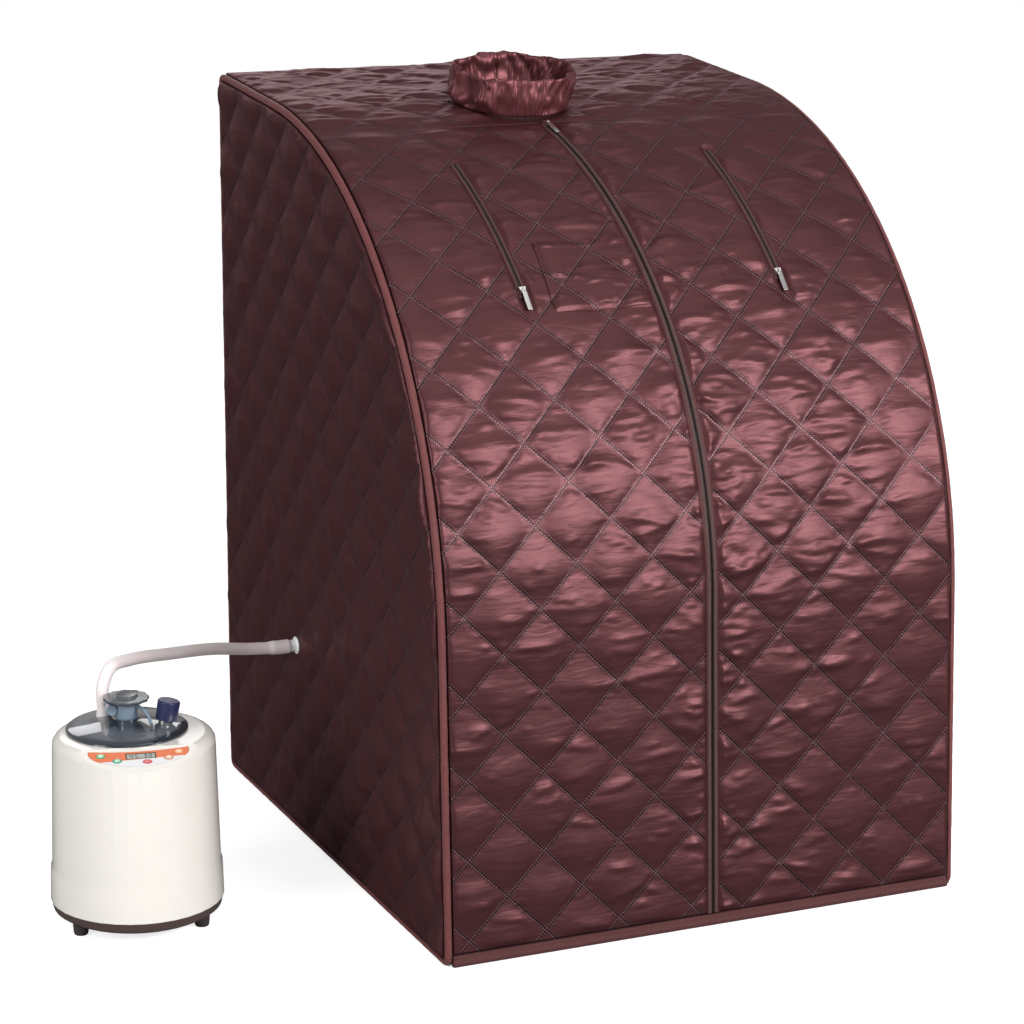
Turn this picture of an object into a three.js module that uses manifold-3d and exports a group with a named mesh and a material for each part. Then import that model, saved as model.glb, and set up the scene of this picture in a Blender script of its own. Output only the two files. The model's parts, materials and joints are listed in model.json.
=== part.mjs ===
// Portable steam sauna: a fold-flat quilted cabin with a neck opening, and its steam generator.
// Millimetres, +Z up. The zipped front faces -Y, and the steam port is in the -X side.
// The origin is the centre of the cabin's footprint, on the floor.
import * as THREE from 'three';
import { mergeVertices } from 'three/addons/utils/BufferGeometryUtils.js';
import Module from 'manifold-3d';

const wasm = await Module();
wasm.setup();

// ---- Driving dimensions of the cabin -------------------------------------------------------
const WIDTH = 700;
const DEPTH = 800;
const HEIGHT = 980;
const FRONT_LEAN = THREE.MathUtils.degToRad(3.07);
const TOP_RISE = THREE.MathUtils.degToRad(4.08);
const ARC_RADIUS = 607.8;
const FABRIC = 6;
const GAP = 0.3;
const ARC_STEPS = 22;

const HOOP_RADIUS = 2;
const SLEEVE_OUTER = 4.5;
const SLEEVE_INNER = 2.6;
const ROD_RADIUS = 5;
const ROD_BORE = 3.5;

const SILL_BOTTOM = 1;
const SILL_TOP = 15;
const SEAM_GAP = 2;
const MAT_THICKNESS = 5;

// The arc runs from the front straight (ARC_FRONT) to the top straight (ARC_TOP), measured from
// straight up towards the front. Its centre is one radius inside both straights.
const ARC_FRONT = Math.PI / 2 - FRONT_LEAN;
const ARC_TOP = TOP_RISE;
const arcCentre = tangentCentre();
const HALF_WIDTH = WIDTH / 2;
const HALF_DEPTH = DEPTH / 2;
const PANEL_EDGE = HALF_WIDTH - 2 * SLEEVE_OUTER - GAP;

// ---- Zips, neck and pocket, as angles on the arc --------------------------------------------
const ZIP_START = deg(17.4);
const ZIP_PLANE = { offset: -69, cos: 19.3, sin: 74 };
const TAPE_HALF = 9;
const TAPE_THICKNESS = 1.2;
const COIL_SPLIT = 0.2;
const PANEL_SPLIT = 3;

const ARM_ZIP = { from: deg(25.9), to: deg(47.6), tapeHalf: 7, slitHalf: 4 };
const ARM_ZIP_MIDDLE = (ARM_ZIP.from + ARM_ZIP.to) / 2;
const LEFT_ARM = { middle: -182.5, slope: 0.0656 };
const RIGHT_ARM = { middle: 167, slope: 0.0525 };

const POCKET = { left: -142, right: -16, from: deg(40.3), to: deg(49.9), thickness: 2.2 };

const NECK = { x: -40, angle: deg(9.27), holeRadius: 62 };
const COLLAR = { base: 74, top: 68, height: 46, thickness: 5 };
const NECK_BAND = { width: 10, thickness: 1.5, drop: 2, clearance: 1 };
const TOP_PANEL_END = deg(17);

const SLIDER_LIFT = 2.3;

// ---- Steam port -----------------------------------------------------------------------------
const PORT = { y: 114, z: 259, holeRadius: 8.3 };

// ---- Driving dimensions of the steam generator ------------------------------------------------
const STEAMER = { x: -636, y: -90, turn: deg(-12) };
const BASE_RADIUS = 107;
const SHOULDER_RADIUS = 100;
const FOOT_HEIGHT = 14;
const SKIRT_TOP = 30;
const HOUSING_TOP = 240;
const SHOULDER_ROLL = 14;
const STEP = { bottom: 70, height: 6, radius: SHOULDER_RADIUS + 4 };
const WALL = 3;
const INLET = { width: 26, depth: 18, height: 20, z: 50, clearance: 2, socketWidth: 18, socketDepth: 8 };
const LID = { x: -7, y: 13, radius: 75, opening: 71 };
const DOME = { hub: 19, knee: 46, hubTop: 13, kneeTop: 8, rimTop: 5, lip: 2, thickness: 3 };
const TANK = { radius: 68, wall: 1.5, bottom: 44, rim: HOUSING_TOP - 4 };
const GASKET = { outside: 1, inside: 5, thickness: 3 };
const HEATER_PLATE = { radius: 48, depth: 9 };
const THERMOSTAT = { radius: 9, depth: 11 };
const TRAY = { bottomInset: 11, bendInset: 3, topInset: 1, bend: 5, lip: WALL + 3, floor: 3 };
const FOOT = { top: 10, knee: 9, bottom: 8, kneeHeight: 2 };
const FACET = { y: -60, z: 239, slope: deg(24), recess: 2.4, skin: 6, fit: 0.4 };
const BAND = { lowerHalf: 52, upperHalf: 60, bulge: 63, lower: -20, upper: -3, lowerBow: -46, upperBow: -11 };
const TOWER = { radius: 14, bore: 11, top: 276, sunk: 2.5 };
const SPIGOT = { reach: 38, angle: deg(133), radius: 5.2, bore: 3.8, top: 290, sunk: 3 };
const OUTLET = { radius: 6.5, bore: 4, start: 6 };
const ELBOW = { radius: 7.5, half: 8, height: 267 };
const VALVE_BOSS = { radius: 6.5, half: 10, x: -19, y: 1 };
const GRAB_RIB = { radius: 2, drop: 4, start: [10, -8], bend: [24, -22], end: [28, -34], endHeight: 10 };
const HERB_CAP = { radius: 27.2, scallop: 0.9, lobes: 12, lift: 1.5, thickness: 3.5 };
const HERB_BOSS = { radius: 16, topRadius: 12, height: 8 };
const HERB_PLUG = { clearance: 0.6, depth: 5 };
const FILLER = { x: 46, y: -13, z: 8, tilt: deg(10), radius: 9, bore: 6.5, foot: -2, reach: 12 };
const FILLER_CAP = { radius: 14, height: 24, bottom: 6, edge: 1.5, taper: 0.6, fit: 0.8, seat: 14 };
const HOSE = { outer: 8, inner: 6.2, steps: 32 };
const HOSE_BENDS = [[-470, 100, 272], [-545, 58, 286], [-608, 4, 308], [-650, -36, 318]];

function deg(value) {
  return THREE.MathUtils.degToRad(value);
}

function tangentCentre() {
  const frontNormal = new THREE.Vector2(Math.cos(FRONT_LEAN), -Math.sin(FRONT_LEAN));
  const topNormal = new THREE.Vector2(Math.sin(TOP_RISE), -Math.cos(TOP_RISE));
  const frontOffset = frontNormal.dot(new THREE.Vector2(-DEPTH / 2, 0)) + ARC_RADIUS;
  const topOffset = topNormal.dot(new THREE.Vector2(DEPTH / 2, HEIGHT)) + ARC_RADIUS;
  const cross = frontNormal.x * topNormal.y - frontNormal.y * topNormal.x;
  const y = (frontOffset * topNormal.y - topOffset * frontNormal.y) / cross;
  const z = (frontNormal.x * topOffset - topNormal.x * frontOffset) / cross;
  return { y, z };
}

// ---- Materials ----------------------------------------------------------------------------
function finish(color, roughness, metalness = 0) {
  return new THREE.MeshStandardMaterial({ color, roughness, metalness });
}

const SATIN = finish('#5a2d33', 0.4);
const PIPING = finish('#6b3a34', 0.6);
const TAPE = finish('#3a2626', 0.7);
const CHROME = finish('#c9c9c9', 0.25, 1);
const SPRING_STEEL = finish('#6f7276', 0.4, 1);
const ROD_PLASTIC = finish('#e4e2dc', 0.6);
const MAT_FABRIC = finish('#8f9296', 0.5);
const ELASTIC = finish('#3b2224', 0.8);
const CREAM = finish('#efece4', 0.2);
const BROWN = finish('#4a3632', 0.45);
const RUBBER = finish('#3a2f2c', 0.8);
const SMOKE = finish('#4f6070', 0.1);
const NAVY = finish('#1d2244', 0.3);
const SILICONE = finish('#e3d6d6', 0.35);
const WHITE = finish('#f4f4f2', 0.35);
const ALUMINIUM = finish('#b8babd', 0.4, 1);
const HEATER = finish('#7d7f82', 0.5, 1);
const BOARD = finish('#2f5d3a', 0.6);
const PANEL = finish('#d9764f', 0.4);
const LCD = finish('#8d9690', 0.2);
const GREEN = finish('#4fae78', 0.4);
const RED = finish('#d9585c', 0.4);
const ORANGE = finish('#e9a06b', 0.4);
const BLACK = finish('#222222', 0.5);

// ---- Mesh helpers ---------------------------------------------------------------------------
function signedVolume(geometry) {
  const position = geometry.getAttribute('position');
  const index = geometry.getIndex();
  const [a, b, c] = [new THREE.Vector3(), new THREE.Vector3(), new THREE.Vector3()];
  let total = 0;
  for (let i = 0; i < index.count; i += 3) {
    a.fromBufferAttribute(position, index.getX(i));
    b.fromBufferAttribute(position, index.getX(i + 1));
    c.fromBufferAttribute(position, index.getX(i + 2));
    total += a.dot(b.cross(c));
  }
  return total / 6;
}

function faceOutward(geometry) {
  if (signedVolume(geometry) < 0) {
    const order = Array.from(geometry.getIndex().array);
    for (let i = 0; i < order.length; i += 3) {
      [order[i + 1], order[i + 2]] = [order[i + 2], order[i + 1]];
    }
    geometry.setIndex(order);
  }
  return geometry;
}

// Drops normals and uvs, merges the shared vertices and leaves out triangles that merge to a line,
// so the surface is one closed body.
function closed(geometry) {
  const bare = geometry.clone();
  bare.deleteAttribute('normal');
  bare.deleteAttribute('uv');
  const merged = mergeVertices(bare, 1e-4);
  const all = merged.getIndex().array;
  const kept = [];
  for (let i = 0; i < all.length; i += 3) {
    const [a, b, c] = [all[i], all[i + 1], all[i + 2]];
    if (a !== b && b !== c && c !== a) {
      kept.push(a, b, c);
    }
  }
  merged.setIndex(kept);
  return faceOutward(merged);
}

// A closed body skinned over matching rings of points. A loop joins its last ring to its first.
function skin(rings, loop = false) {
  const count = rings[0].length;
  const index = [];
  const spans = loop ? rings.length : rings.length - 1;
  for (let i = 0; i < spans; i += 1) {
    const a = i * count;
    const b = ((i + 1) % rings.length) * count;
    for (let j = 0; j < count; j += 1) {
      const k = (j + 1) % count;
      index.push(a + j, b + j, b + k, a + j, b + k, a + k);
    }
  }
  if (!loop) {
    const last = (rings.length - 1) * count;
    for (let j = 1; j < count - 1; j += 1) {
      index.push(0, j, j + 1, last, last + j + 1, last + j);
    }
  }
  const geometry = new THREE.BufferGeometry();
  const values = rings.flat().flatMap((point) => [point.x, point.y, point.z]);
  geometry.setAttribute('position', new THREE.Float32BufferAttribute(values, 3));
  geometry.setIndex(index);
  return faceOutward(geometry);
}

function toSolid(geometry) {
  const merged = closed(geometry);
  const vertProperties = new Float32Array(merged.getAttribute('position').array);
  const triVerts = new Uint32Array(merged.getIndex().array);
  return new wasm.Manifold(new wasm.Mesh({ numProp: 3, vertProperties, triVerts }));
}

function fromSolid(solid) {
  const mesh = solid.getMesh();
  const geometry = new THREE.BufferGeometry();
  geometry.setAttribute('position', new THREE.Float32BufferAttribute(mesh.vertProperties, 3));
  geometry.setIndex(Array.from(mesh.triVerts));
  return geometry;
}

function join(first, ...others) {
  return fromSolid(others.reduce((sum, next) => sum.add(toSolid(next)), toSolid(first)));
}

function cut(first, ...others) {
  return fromSolid(others.reduce((sum, next) => sum.subtract(toSolid(next)), toSolid(first)));
}

function mesh(name, geometry, material) {
  const result = new THREE.Mesh(closed(geometry), material);
  result.name = name;
  return result;
}

function group(...children) {
  const result = new THREE.Group();
  result.add(...children);
  return result;
}

// A body turned about Z from a closed outline of [radius, height] points.
function turned(outline, segments = 32) {
  const points = outline.map(([radius, height]) => new THREE.Vector2(radius, height));
  const onAxis = points[0].x === 0 && points[points.length - 1].x === 0;
  if (!onAxis) {
    points.push(points[0].clone());
  }
  return new THREE.LatheGeometry(points, segments).rotateX(Math.PI / 2);
}

function tube(outer, inner, bottom, top, segments = 32) {
  return turned([[inner, bottom], [outer, bottom], [outer, top], [inner, top]], segments);
}

function cylinder(radius, bottom, top, segments = 24) {
  return turned([[0, bottom], [radius, bottom], [radius, top], [0, top]], segments);
}

function box(width, depth, height) {
  return new THREE.BoxGeometry(width, depth, height);
}

// Turns a body made about Z so that its axis runs along +X.
function alongX(geometry) {
  return geometry.rotateY(Math.PI / 2);
}

// Stands a body extruded along Z on edge: its outline lies in the YZ plane and its depth runs along X.
const SIDEWAYS = new THREE.Matrix4().makeBasis(
  new THREE.Vector3(0, 1, 0),
  new THREE.Vector3(0, 0, 1),
  new THREE.Vector3(1, 0, 0),
);

// ---- The cabin's outer surface --------------------------------------------------------------
function arcPoint(x, angle, lift) {
  const radius = ARC_RADIUS + lift;
  const y = arcCentre.y - radius * Math.sin(angle);
  const z = arcCentre.z + radius * Math.cos(angle);
  return new THREE.Vector3(x, y, z);
}

function frontPoint(x, height, lift) {
  const y = -HALF_DEPTH + height * Math.tan(FRONT_LEAN) - lift * Math.cos(FRONT_LEAN);
  return new THREE.Vector3(x, y, height + lift * Math.sin(FRONT_LEAN));
}

function topPoint(x, y, lift) {
  const z = HEIGHT - (HALF_DEPTH - y) * Math.tan(TOP_RISE);
  return new THREE.Vector3(x, y - lift * Math.sin(TOP_RISE), z + lift * Math.cos(TOP_RISE));
}

// One four-cornered slice of a sheet between two edges and two lifts off the outer surface.
function slice(point, along, left, right, inner, outer) {
  return [
    point(left, along, inner),
    point(right, along, inner),
    point(right, along, outer),
    point(left, along, outer),
  ];
}

// A strip of sheet on the arc. Its two edges are given as x for each angle.
function arcStrip(from, to, left, right, inner, outer, steps = ARC_STEPS) {
  const rings = [];
  for (let i = 0; i <= steps; i += 1) {
    const angle = from + ((to - from) * i) / steps;
    rings.push(slice(arcPoint, angle, left(angle), right(angle), inner, outer));
  }
  return skin(rings);
}

function frontStrip(bottom, top, left, right, inner, outer) {
  return skin([bottom, top].map((height) => slice(frontPoint, height, left, right, inner, outer)));
}

// The side profile as [y, z] points, moved inwards by `inset` on every side.
function sideOutline(inset) {
  const points = [];
  const frontY = -HALF_DEPTH + inset * Math.tan(FRONT_LEAN) + inset / Math.cos(FRONT_LEAN);
  points.push([frontY, inset]);
  for (let i = 0; i <= ARC_STEPS; i += 1) {
    const angle = ARC_FRONT + ((ARC_TOP - ARC_FRONT) * i) / ARC_STEPS;
    const point = arcPoint(0, angle, -inset);
    points.push([point.y, point.z]);
  }
  points.push([HALF_DEPTH - inset, HEIGHT - inset * Math.tan(TOP_RISE) - inset / Math.cos(TOP_RISE)]);
  points.push([HALF_DEPTH - inset, inset]);
  return points;
}

function zipX(angle) {
  return ZIP_PLANE.offset + ZIP_PLANE.cos * Math.cos(angle) + ZIP_PLANE.sin * Math.sin(angle);
}

function armX(arm) {
  return (angle) => arm.middle + arm.slope * ARC_RADIUS * Math.sin(angle - ARM_ZIP_MIDDLE);
}

const FLAP_ZIP_X = zipX(ARC_FRONT);
const FLAP_TOP = arcPoint(0, ARC_FRONT, 0).z - SEAM_GAP;
const FLAP_BOTTOM = SILL_TOP + SEAM_GAP;

// ---- Cabin panels -----------------------------------------------------------------------------
function sidePanel(name, outerX, direction, portHole) {
  const shape = new THREE.Shape(sideOutline(2 * SLEEVE_OUTER + GAP).map(([y, z]) => new THREE.Vector2(y, z)));
  if (portHole) {
    const hole = new THREE.Path();
    hole.absarc(PORT.y, PORT.z, PORT.holeRadius, 0, 2 * Math.PI, false);
    shape.holes.push(hole);
  }
  const sheet = new THREE.ExtrudeGeometry(shape, { depth: FABRIC, bevelEnabled: false, curveSegments: 10 });
  sheet.applyMatrix4(SIDEWAYS);
  const panel = mesh(name, sheet, SATIN);
  panel.position.x = direction > 0 ? outerX - FABRIC : outerX;
  return panel;
}

// A closed loop round the side profile: `section` holds [inset, x] points of its cross-section.
function hoopLoop(centreInset, centreX, section) {
  const outlines = section.map(([inset]) => sideOutline(centreInset + inset));
  const rings = outlines[0].map((_, i) =>
    section.map(([, x], j) => new THREE.Vector3(centreX + x, outlines[j][i][0], outlines[j][i][1])));
  return skin(rings, true);
}

function circleSection(radius, segments) {
  const points = [];
  for (let i = 0; i < segments; i += 1) {
    const angle = (2 * Math.PI * i) / segments;
    points.push([radius * Math.cos(angle), radius * Math.sin(angle)]);
  }
  return points;
}

// The sleeve is sewn round the hoop from a strip, so its section is a C. Its slot looks inwards.
function sleeveSection(slotAngle) {
  const halfSlot = deg(28);
  const steps = 6;
  const outer = [];
  const inner = [];
  for (let i = 0; i <= steps; i += 1) {
    const angle = slotAngle + halfSlot + ((2 * Math.PI - 2 * halfSlot) * i) / steps;
    outer.push([SLEEVE_OUTER * Math.cos(angle), SLEEVE_OUTER * Math.sin(angle)]);
    inner.unshift([SLEEVE_INNER * Math.cos(angle), SLEEVE_INNER * Math.sin(angle)]);
  }
  return [...outer, ...inner];
}

function hoopAndSleeve(side, direction) {
  const x = direction * (HALF_WIDTH - SLEEVE_OUTER);
  const slotAngle = direction > 0 ? deg(-45) : deg(45);
  return [
    mesh(`${side}_hoop`, hoopLoop(SLEEVE_OUTER, x, circleSection(HOOP_RADIUS, 6)), SPRING_STEEL),
    mesh(`${side}_piping`, hoopLoop(SLEEVE_OUTER, x, sleeveSection(slotAngle)), PIPING),
  ];
}

// The top sheet covers the roof and the first degrees of the arc, round the neck opening.
function topPanel() {
  const rings = [topPoint(0, HALF_DEPTH, 0).y, arcPoint(0, ARC_TOP, 0).y + 1].map((y) =>
    slice(topPoint, y, -PANEL_EDGE, PANEL_EDGE, -FABRIC, 0));
  const steps = 5;
  for (let i = 0; i <= steps; i += 1) {
    const angle = ARC_TOP + ((TOP_PANEL_END - ARC_TOP) * i) / steps;
    rings.push(slice(arcPoint, angle, -PANEL_EDGE, PANEL_EDGE, -FABRIC, 0));
  }
  const hole = cylinder(NECK.holeRadius, -4 * FABRIC, 4 * FABRIC, 32);
  const centre = arcPoint(NECK.x, NECK.angle, 0);
  hole.rotateX(NECK.angle).translate(centre.x, centre.y, centre.z);
  return mesh('top_panel', cut(skin(rings), hole), SATIN);
}

function archPanel(side, left, right, arm) {
  const start = TOP_PANEL_END + SEAM_GAP / ARC_RADIUS;
  const sheet = arcStrip(start, ARC_FRONT, left, right, -FABRIC, 0);
  const middle = armX(arm);
  const slit = arcStrip(
    ARM_ZIP.from + deg(0.5),
    ARM_ZIP.to - deg(0.5),
    (angle) => middle(angle) - ARM_ZIP.slitHalf,
    (angle) => middle(angle) + ARM_ZIP.slitHalf,
    -2 * FABRIC,
    FABRIC,
    8,
  );
  return mesh(`${side}_arch_panel`, cut(sheet, slit), SATIN);
}

function archPanels() {
  return [
    archPanel('left', () => -PANEL_EDGE, (angle) => zipX(angle) - PANEL_SPLIT, LEFT_ARM),
    archPanel('right', (angle) => zipX(angle) + PANEL_SPLIT, () => PANEL_EDGE, RIGHT_ARM),
  ];
}

function frontFlaps() {
  const edge = PANEL_EDGE - SEAM_GAP;
  const sheet = (left, right) => frontStrip(FLAP_BOTTOM, FLAP_TOP, left, right, -FABRIC, 0);
  return [
    mesh('left_front_flap', sheet(-edge, FLAP_ZIP_X - PANEL_SPLIT), SATIN),
    mesh('right_front_flap', sheet(FLAP_ZIP_X + PANEL_SPLIT, edge), SATIN),
  ];
}

function rearPanel() {
  const bottom = 2 * SLEEVE_OUTER;
  const top = HEIGHT - 2 * SLEEVE_OUTER;
  const panel = mesh('rear_panel', box(2 * PANEL_EDGE, FABRIC, top - bottom), SATIN);
  panel.position.set(0, HALF_DEPTH - FABRIC / 2, (top + bottom) / 2);
  return panel;
}

function frontSill() {
  const strip = frontStrip(SILL_BOTTOM, SILL_TOP, -PANEL_EDGE, PANEL_EDGE, -FABRIC, 0);
  return mesh('front_sill_binding', strip, PIPING);
}

function floorMat() {
  const margin = 2 * SLEEVE_OUTER + 1;
  const mat = mesh('floor_mat', box(WIDTH - 2 * margin, DEPTH - 2 * margin, MAT_THICKNESS), MAT_FABRIC);
  mat.position.z = MAT_THICKNESS / 2;
  return mat;
}

function spacerRods() {
  const clearance = 1;
  const inset = FABRIC + ROD_RADIUS + clearance;
  const rear = HALF_DEPTH - inset;
  const roofAtRear = topPoint(0, rear, 0).z;
  const low = MAT_THICKNESS + ROD_RADIUS + 2 * clearance;
  const places = {
    top_rear_rod: [rear, roofAtRear - inset],
    middle_rear_rod: [rear, HEIGHT / 2],
    bottom_rear_rod: [rear, low],
    bottom_front_rod: [-HALF_DEPTH + inset + 3 * clearance, low],
  };
  return Object.entries(places).map(([name, [y, z]]) => {
    const pipe = alongX(tube(ROD_RADIUS, ROD_BORE, -PANEL_EDGE, PANEL_EDGE, 12));
    const rod = mesh(name, pipe, ROD_PLASTIC);
    rod.position.set(0, y, z);
    return rod;
  });
}

// ---- Neck collar, pocket and zips ---------------------------------------------------------------
function neckCollar() {
  const { base, top, height, thickness } = COLLAR;
  const sleeve = turned([
    [base - thickness, 0],
    [base, 0],
    [base + 2, height / 2],
    [top, height],
    [top - thickness, height],
    [base + 2 - thickness, height / 2],
  ], 36);
  const outer = top - thickness - NECK_BAND.clearance;
  const bandTop = height - NECK_BAND.drop;
  const band = tube(outer, outer - NECK_BAND.thickness, bandTop - NECK_BAND.width, bandTop, 36);
  const result = group(mesh('neck_collar', sleeve, SATIN), mesh('neck_elastic', band, ELASTIC));
  result.position.copy(arcPoint(NECK.x, NECK.angle, 2 * GAP));
  result.rotation.x = NECK.angle;
  return result;
}

function remotePocket() {
  const { left, right, from, to, thickness } = POCKET;
  return mesh('remote_pocket', arcStrip(from, to, () => left, () => right, GAP, GAP + thickness, 4), SATIN);
}

function mainZipTapes() {
  const top = GAP + TAPE_THICKNESS;
  const onArc = (left, right) => arcStrip(ZIP_START, ARC_FRONT, left, right, GAP, top);
  const onFlap = (left, right) => frontStrip(FLAP_BOTTOM, FLAP_TOP, left, right, GAP, top);
  return [
    mesh('left_zip_tape', onArc((a) => zipX(a) - TAPE_HALF, (a) => zipX(a) - COIL_SPLIT), TAPE),
    mesh('right_zip_tape', onArc((a) => zipX(a) + COIL_SPLIT, (a) => zipX(a) + TAPE_HALF), TAPE),
    mesh('left_flap_zip_tape', onFlap(FLAP_ZIP_X - TAPE_HALF, FLAP_ZIP_X - COIL_SPLIT), TAPE),
    mesh('right_flap_zip_tape', onFlap(FLAP_ZIP_X + COIL_SPLIT, FLAP_ZIP_X + TAPE_HALF), TAPE),
  ];
}

function armZipTape(side, arm) {
  const middle = armX(arm);
  const { from, to, tapeHalf } = ARM_ZIP;
  const strip = arcStrip(
    from,
    to,
    (angle) => middle(angle) - tapeHalf,
    (angle) => middle(angle) + tapeHalf,
    GAP,
    GAP + TAPE_THICKNESS,
    9,
  );
  return mesh(`${side}_arm_zip_tape`, strip, TAPE);
}

// A zip slider: a wedge-shaped body with a bail over it, and a pull tab whose cross bar runs through
// the bail. Local +Y points up the zip, and Z points away from the fabric.
const SLIDER = { width: 9, length: 9, thickness: 3, nose: 3 };
const BAIL = { span: 5, height: 2.9, leg: 1.2, crown: 0.8, chamfer: 1, buried: 0.5, sill: 0.1 };
const PULL = { width: 6, length: 28, thickness: 1.2, bar: 0.65, eyeHalf: 1.5, eyeEnd: 3.3, pivot: 1.1 };
const PULL_DROOP = deg(5);

function plan(...corners) {
  return corners.map(([x, y]) => new THREE.Vector2(x, y));
}

function plate(corners, holeCorners, depth) {
  const shape = new THREE.Shape(plan(...corners));
  if (holeCorners) {
    shape.holes.push(new THREE.Path(plan(...holeCorners)));
  }
  return new THREE.ExtrudeGeometry(shape, { depth, bevelEnabled: false });
}

function sliderBody(name) {
  const { width, length, thickness, nose } = SLIDER;
  const wide = width / 2;
  const back = length / 2;
  const body = plate([[-nose, -back], [nose, -back], [wide, back], [-wide, back]], null, thickness);
  const { span, height, leg, crown, chamfer, buried, sill } = BAIL;
  const half = span / 2;
  const inner = half - leg;
  const arch = plate(
    [[-half, -buried], [half, -buried], [half, height - chamfer], [half - chamfer, height],
      [chamfer - half, height], [-half, height - chamfer]],
    [[-inner, sill], [-inner, height - crown], [inner, height - crown], [inner, sill]],
    leg,
  );
  arch.applyMatrix4(SIDEWAYS).translate(-leg / 2, 0, thickness);
  return mesh(name, join(body, arch), CHROME);
}

function sliderPull(name) {
  const { width, length, thickness, bar, eyeHalf, eyeEnd } = PULL;
  const half = width / 2;
  const tab = plate(
    [[-half, -length], [half, -length], [half, bar], [-half, bar]],
    [[-eyeHalf, -eyeEnd], [-eyeHalf, -bar], [eyeHalf, -bar], [eyeHalf, -eyeEnd]],
    thickness,
  );
  return mesh(name, tab.translate(0, 0, -thickness / 2), CHROME);
}

// Places a slider and its pull on the arc, lined up with the zip's own slant.
function placedSlider(name, lineX, angle) {
  const step = 0.001;
  const slant = Math.atan2(lineX(angle + step) - lineX(angle - step), 2 * step * ARC_RADIUS);
  const body = sliderBody(`${name}_slider`);
  const pull = sliderPull(`${name}_pull`);
  pull.position.z = SLIDER.thickness + PULL.pivot;
  pull.rotation.x = PULL_DROOP;
  const flat = group(body, pull);
  flat.rotation.z = slant;
  const result = group(flat);
  result.position.copy(arcPoint(lineX(angle), angle, SLIDER_LIFT));
  result.rotation.x = angle;
  return result;
}

function sliders() {
  const sliderReach = SLIDER.length / ARC_RADIUS;
  return [
    placedSlider('main_zip', zipX, ZIP_START + sliderReach / 2),
    placedSlider('left_arm_zip', armX(LEFT_ARM), ARM_ZIP.to - sliderReach),
    placedSlider('right_arm_zip', armX(RIGHT_ARM), ARM_ZIP.to - sliderReach),
  ];
}

// ---- Steam port ---------------------------------------------------------------------------------
const FITTING = {
  flange: 11.5, flangeThickness: 2, barrel: 8, barrelLength: 9, barb: 5.2, barbLength: 11, bore: 4, tail: 9,
};
const THREAD_RADIUS = PORT.holeRadius - 0.5;
const NUT = { radius: 14, thickness: 5 };
const DIFFUSER = { radius: 17, wall: 2, length: 22, slotWidth: 5, slotHeight: 12 };

function portFitting() {
  const { flange, flangeThickness, barrel, barrelLength, barb, barbLength, bore, tail } = FITTING;
  const outside = GAP;
  const barrelEnd = outside + flangeThickness + barrelLength;
  const barbEnd = barrelEnd + barbLength;
  const inside = -FABRIC - tail;
  const outline = [
    [bore, inside],
    [THREAD_RADIUS, inside],
    [THREAD_RADIUS, outside],
    [flange, outside],
    [flange, outside + flangeThickness],
    [barrel, outside + flangeThickness],
    [barrel, barrelEnd],
    [barb, barrelEnd],
    [barb, barbEnd],
    [bore, barbEnd],
  ];
  return mesh('port_fitting', turned(outline, 20), WHITE);
}

function steamPort() {
  const nutInner = THREAD_RADIUS + GAP;
  const nutEnd = -FABRIC - NUT.thickness;
  const hexagon = cylinder(NUT.radius, nutEnd, -FABRIC - GAP, 6);
  const nut = mesh('port_nut', cut(hexagon, cylinder(nutInner, -2 * FABRIC, 0, 20)), WHITE);
  const { radius, wall, length, slotWidth, slotHeight } = DIFFUSER;
  const cupTop = nutEnd - GAP;
  const cupBottom = cupTop - length;
  const cup = turned([
    [nutInner, cupTop],
    [nutInner, cupTop - wall],
    [radius - wall, cupTop - wall],
    [radius - wall, cupBottom + wall],
    [0, cupBottom + wall],
    [0, cupBottom],
    [radius, cupBottom],
    [radius, cupTop],
  ], 24);
  const slots = [0, 60, 120].map((angle) =>
    box(3 * radius, slotWidth, slotHeight).translate(0, 0, (cupTop + cupBottom) / 2).rotateZ(deg(angle)));
  const result = group(portFitting(), nut, mesh('steam_diffuser', cut(cup, ...slots), WHITE));
  result.position.set(-HALF_WIDTH, PORT.y, PORT.z);
  result.rotation.y = -Math.PI / 2;
  return result;
}

// ---- Steam generator ------------------------------------------------------------------------------
// All of its parts are built about its own axis, with the control panel facing local -Y.
function housingOutline(inset) {
  const top = HOUSING_TOP - inset;
  const roll = SHOULDER_ROLL;
  const points = [[0, SKIRT_TOP], [BASE_RADIUS - inset, SKIRT_TOP], [BASE_RADIUS - 1 - inset, STEP.bottom]];
  points.push([STEP.radius - inset, STEP.bottom + STEP.height]);
  const steps = 6;
  for (let i = 0; i <= steps; i += 1) {
    const angle = (Math.PI / 2) * (i / steps);
    const radius = SHOULDER_RADIUS - inset - roll + roll * Math.cos(angle);
    points.push([radius, top - roll * (1 - Math.sin(angle))]);
  }
  points.push([0, top]);
  return points;
}

// Turns and moves a body from the control panel's own flat frame onto the sloping facet.
function onFacet(geometry) {
  return geometry.rotateX(FACET.slope).translate(0, FACET.y, FACET.z);
}

// The panel's outline: a band with rounded ends that bows round the lid.
function panelShape(margin) {
  const { lowerHalf, upperHalf, bulge, lower, upper, lowerBow, upperBow } = BAND;
  const low = [lowerHalf + margin, lower - margin];
  const high = [upperHalf + margin, upper + margin];
  const side = [bulge + margin, (lower + upper) / 2];
  const shape = new THREE.Shape();
  shape.moveTo(-low[0], low[1]);
  shape.quadraticCurveTo(0, lowerBow - margin, low[0], low[1]);
  shape.quadraticCurveTo(side[0], side[1], high[0], high[1]);
  shape.quadraticCurveTo(0, upperBow + margin, -high[0], high[1]);
  shape.quadraticCurveTo(-side[0], side[1], -low[0], low[1]);
  return shape;
}

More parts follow.
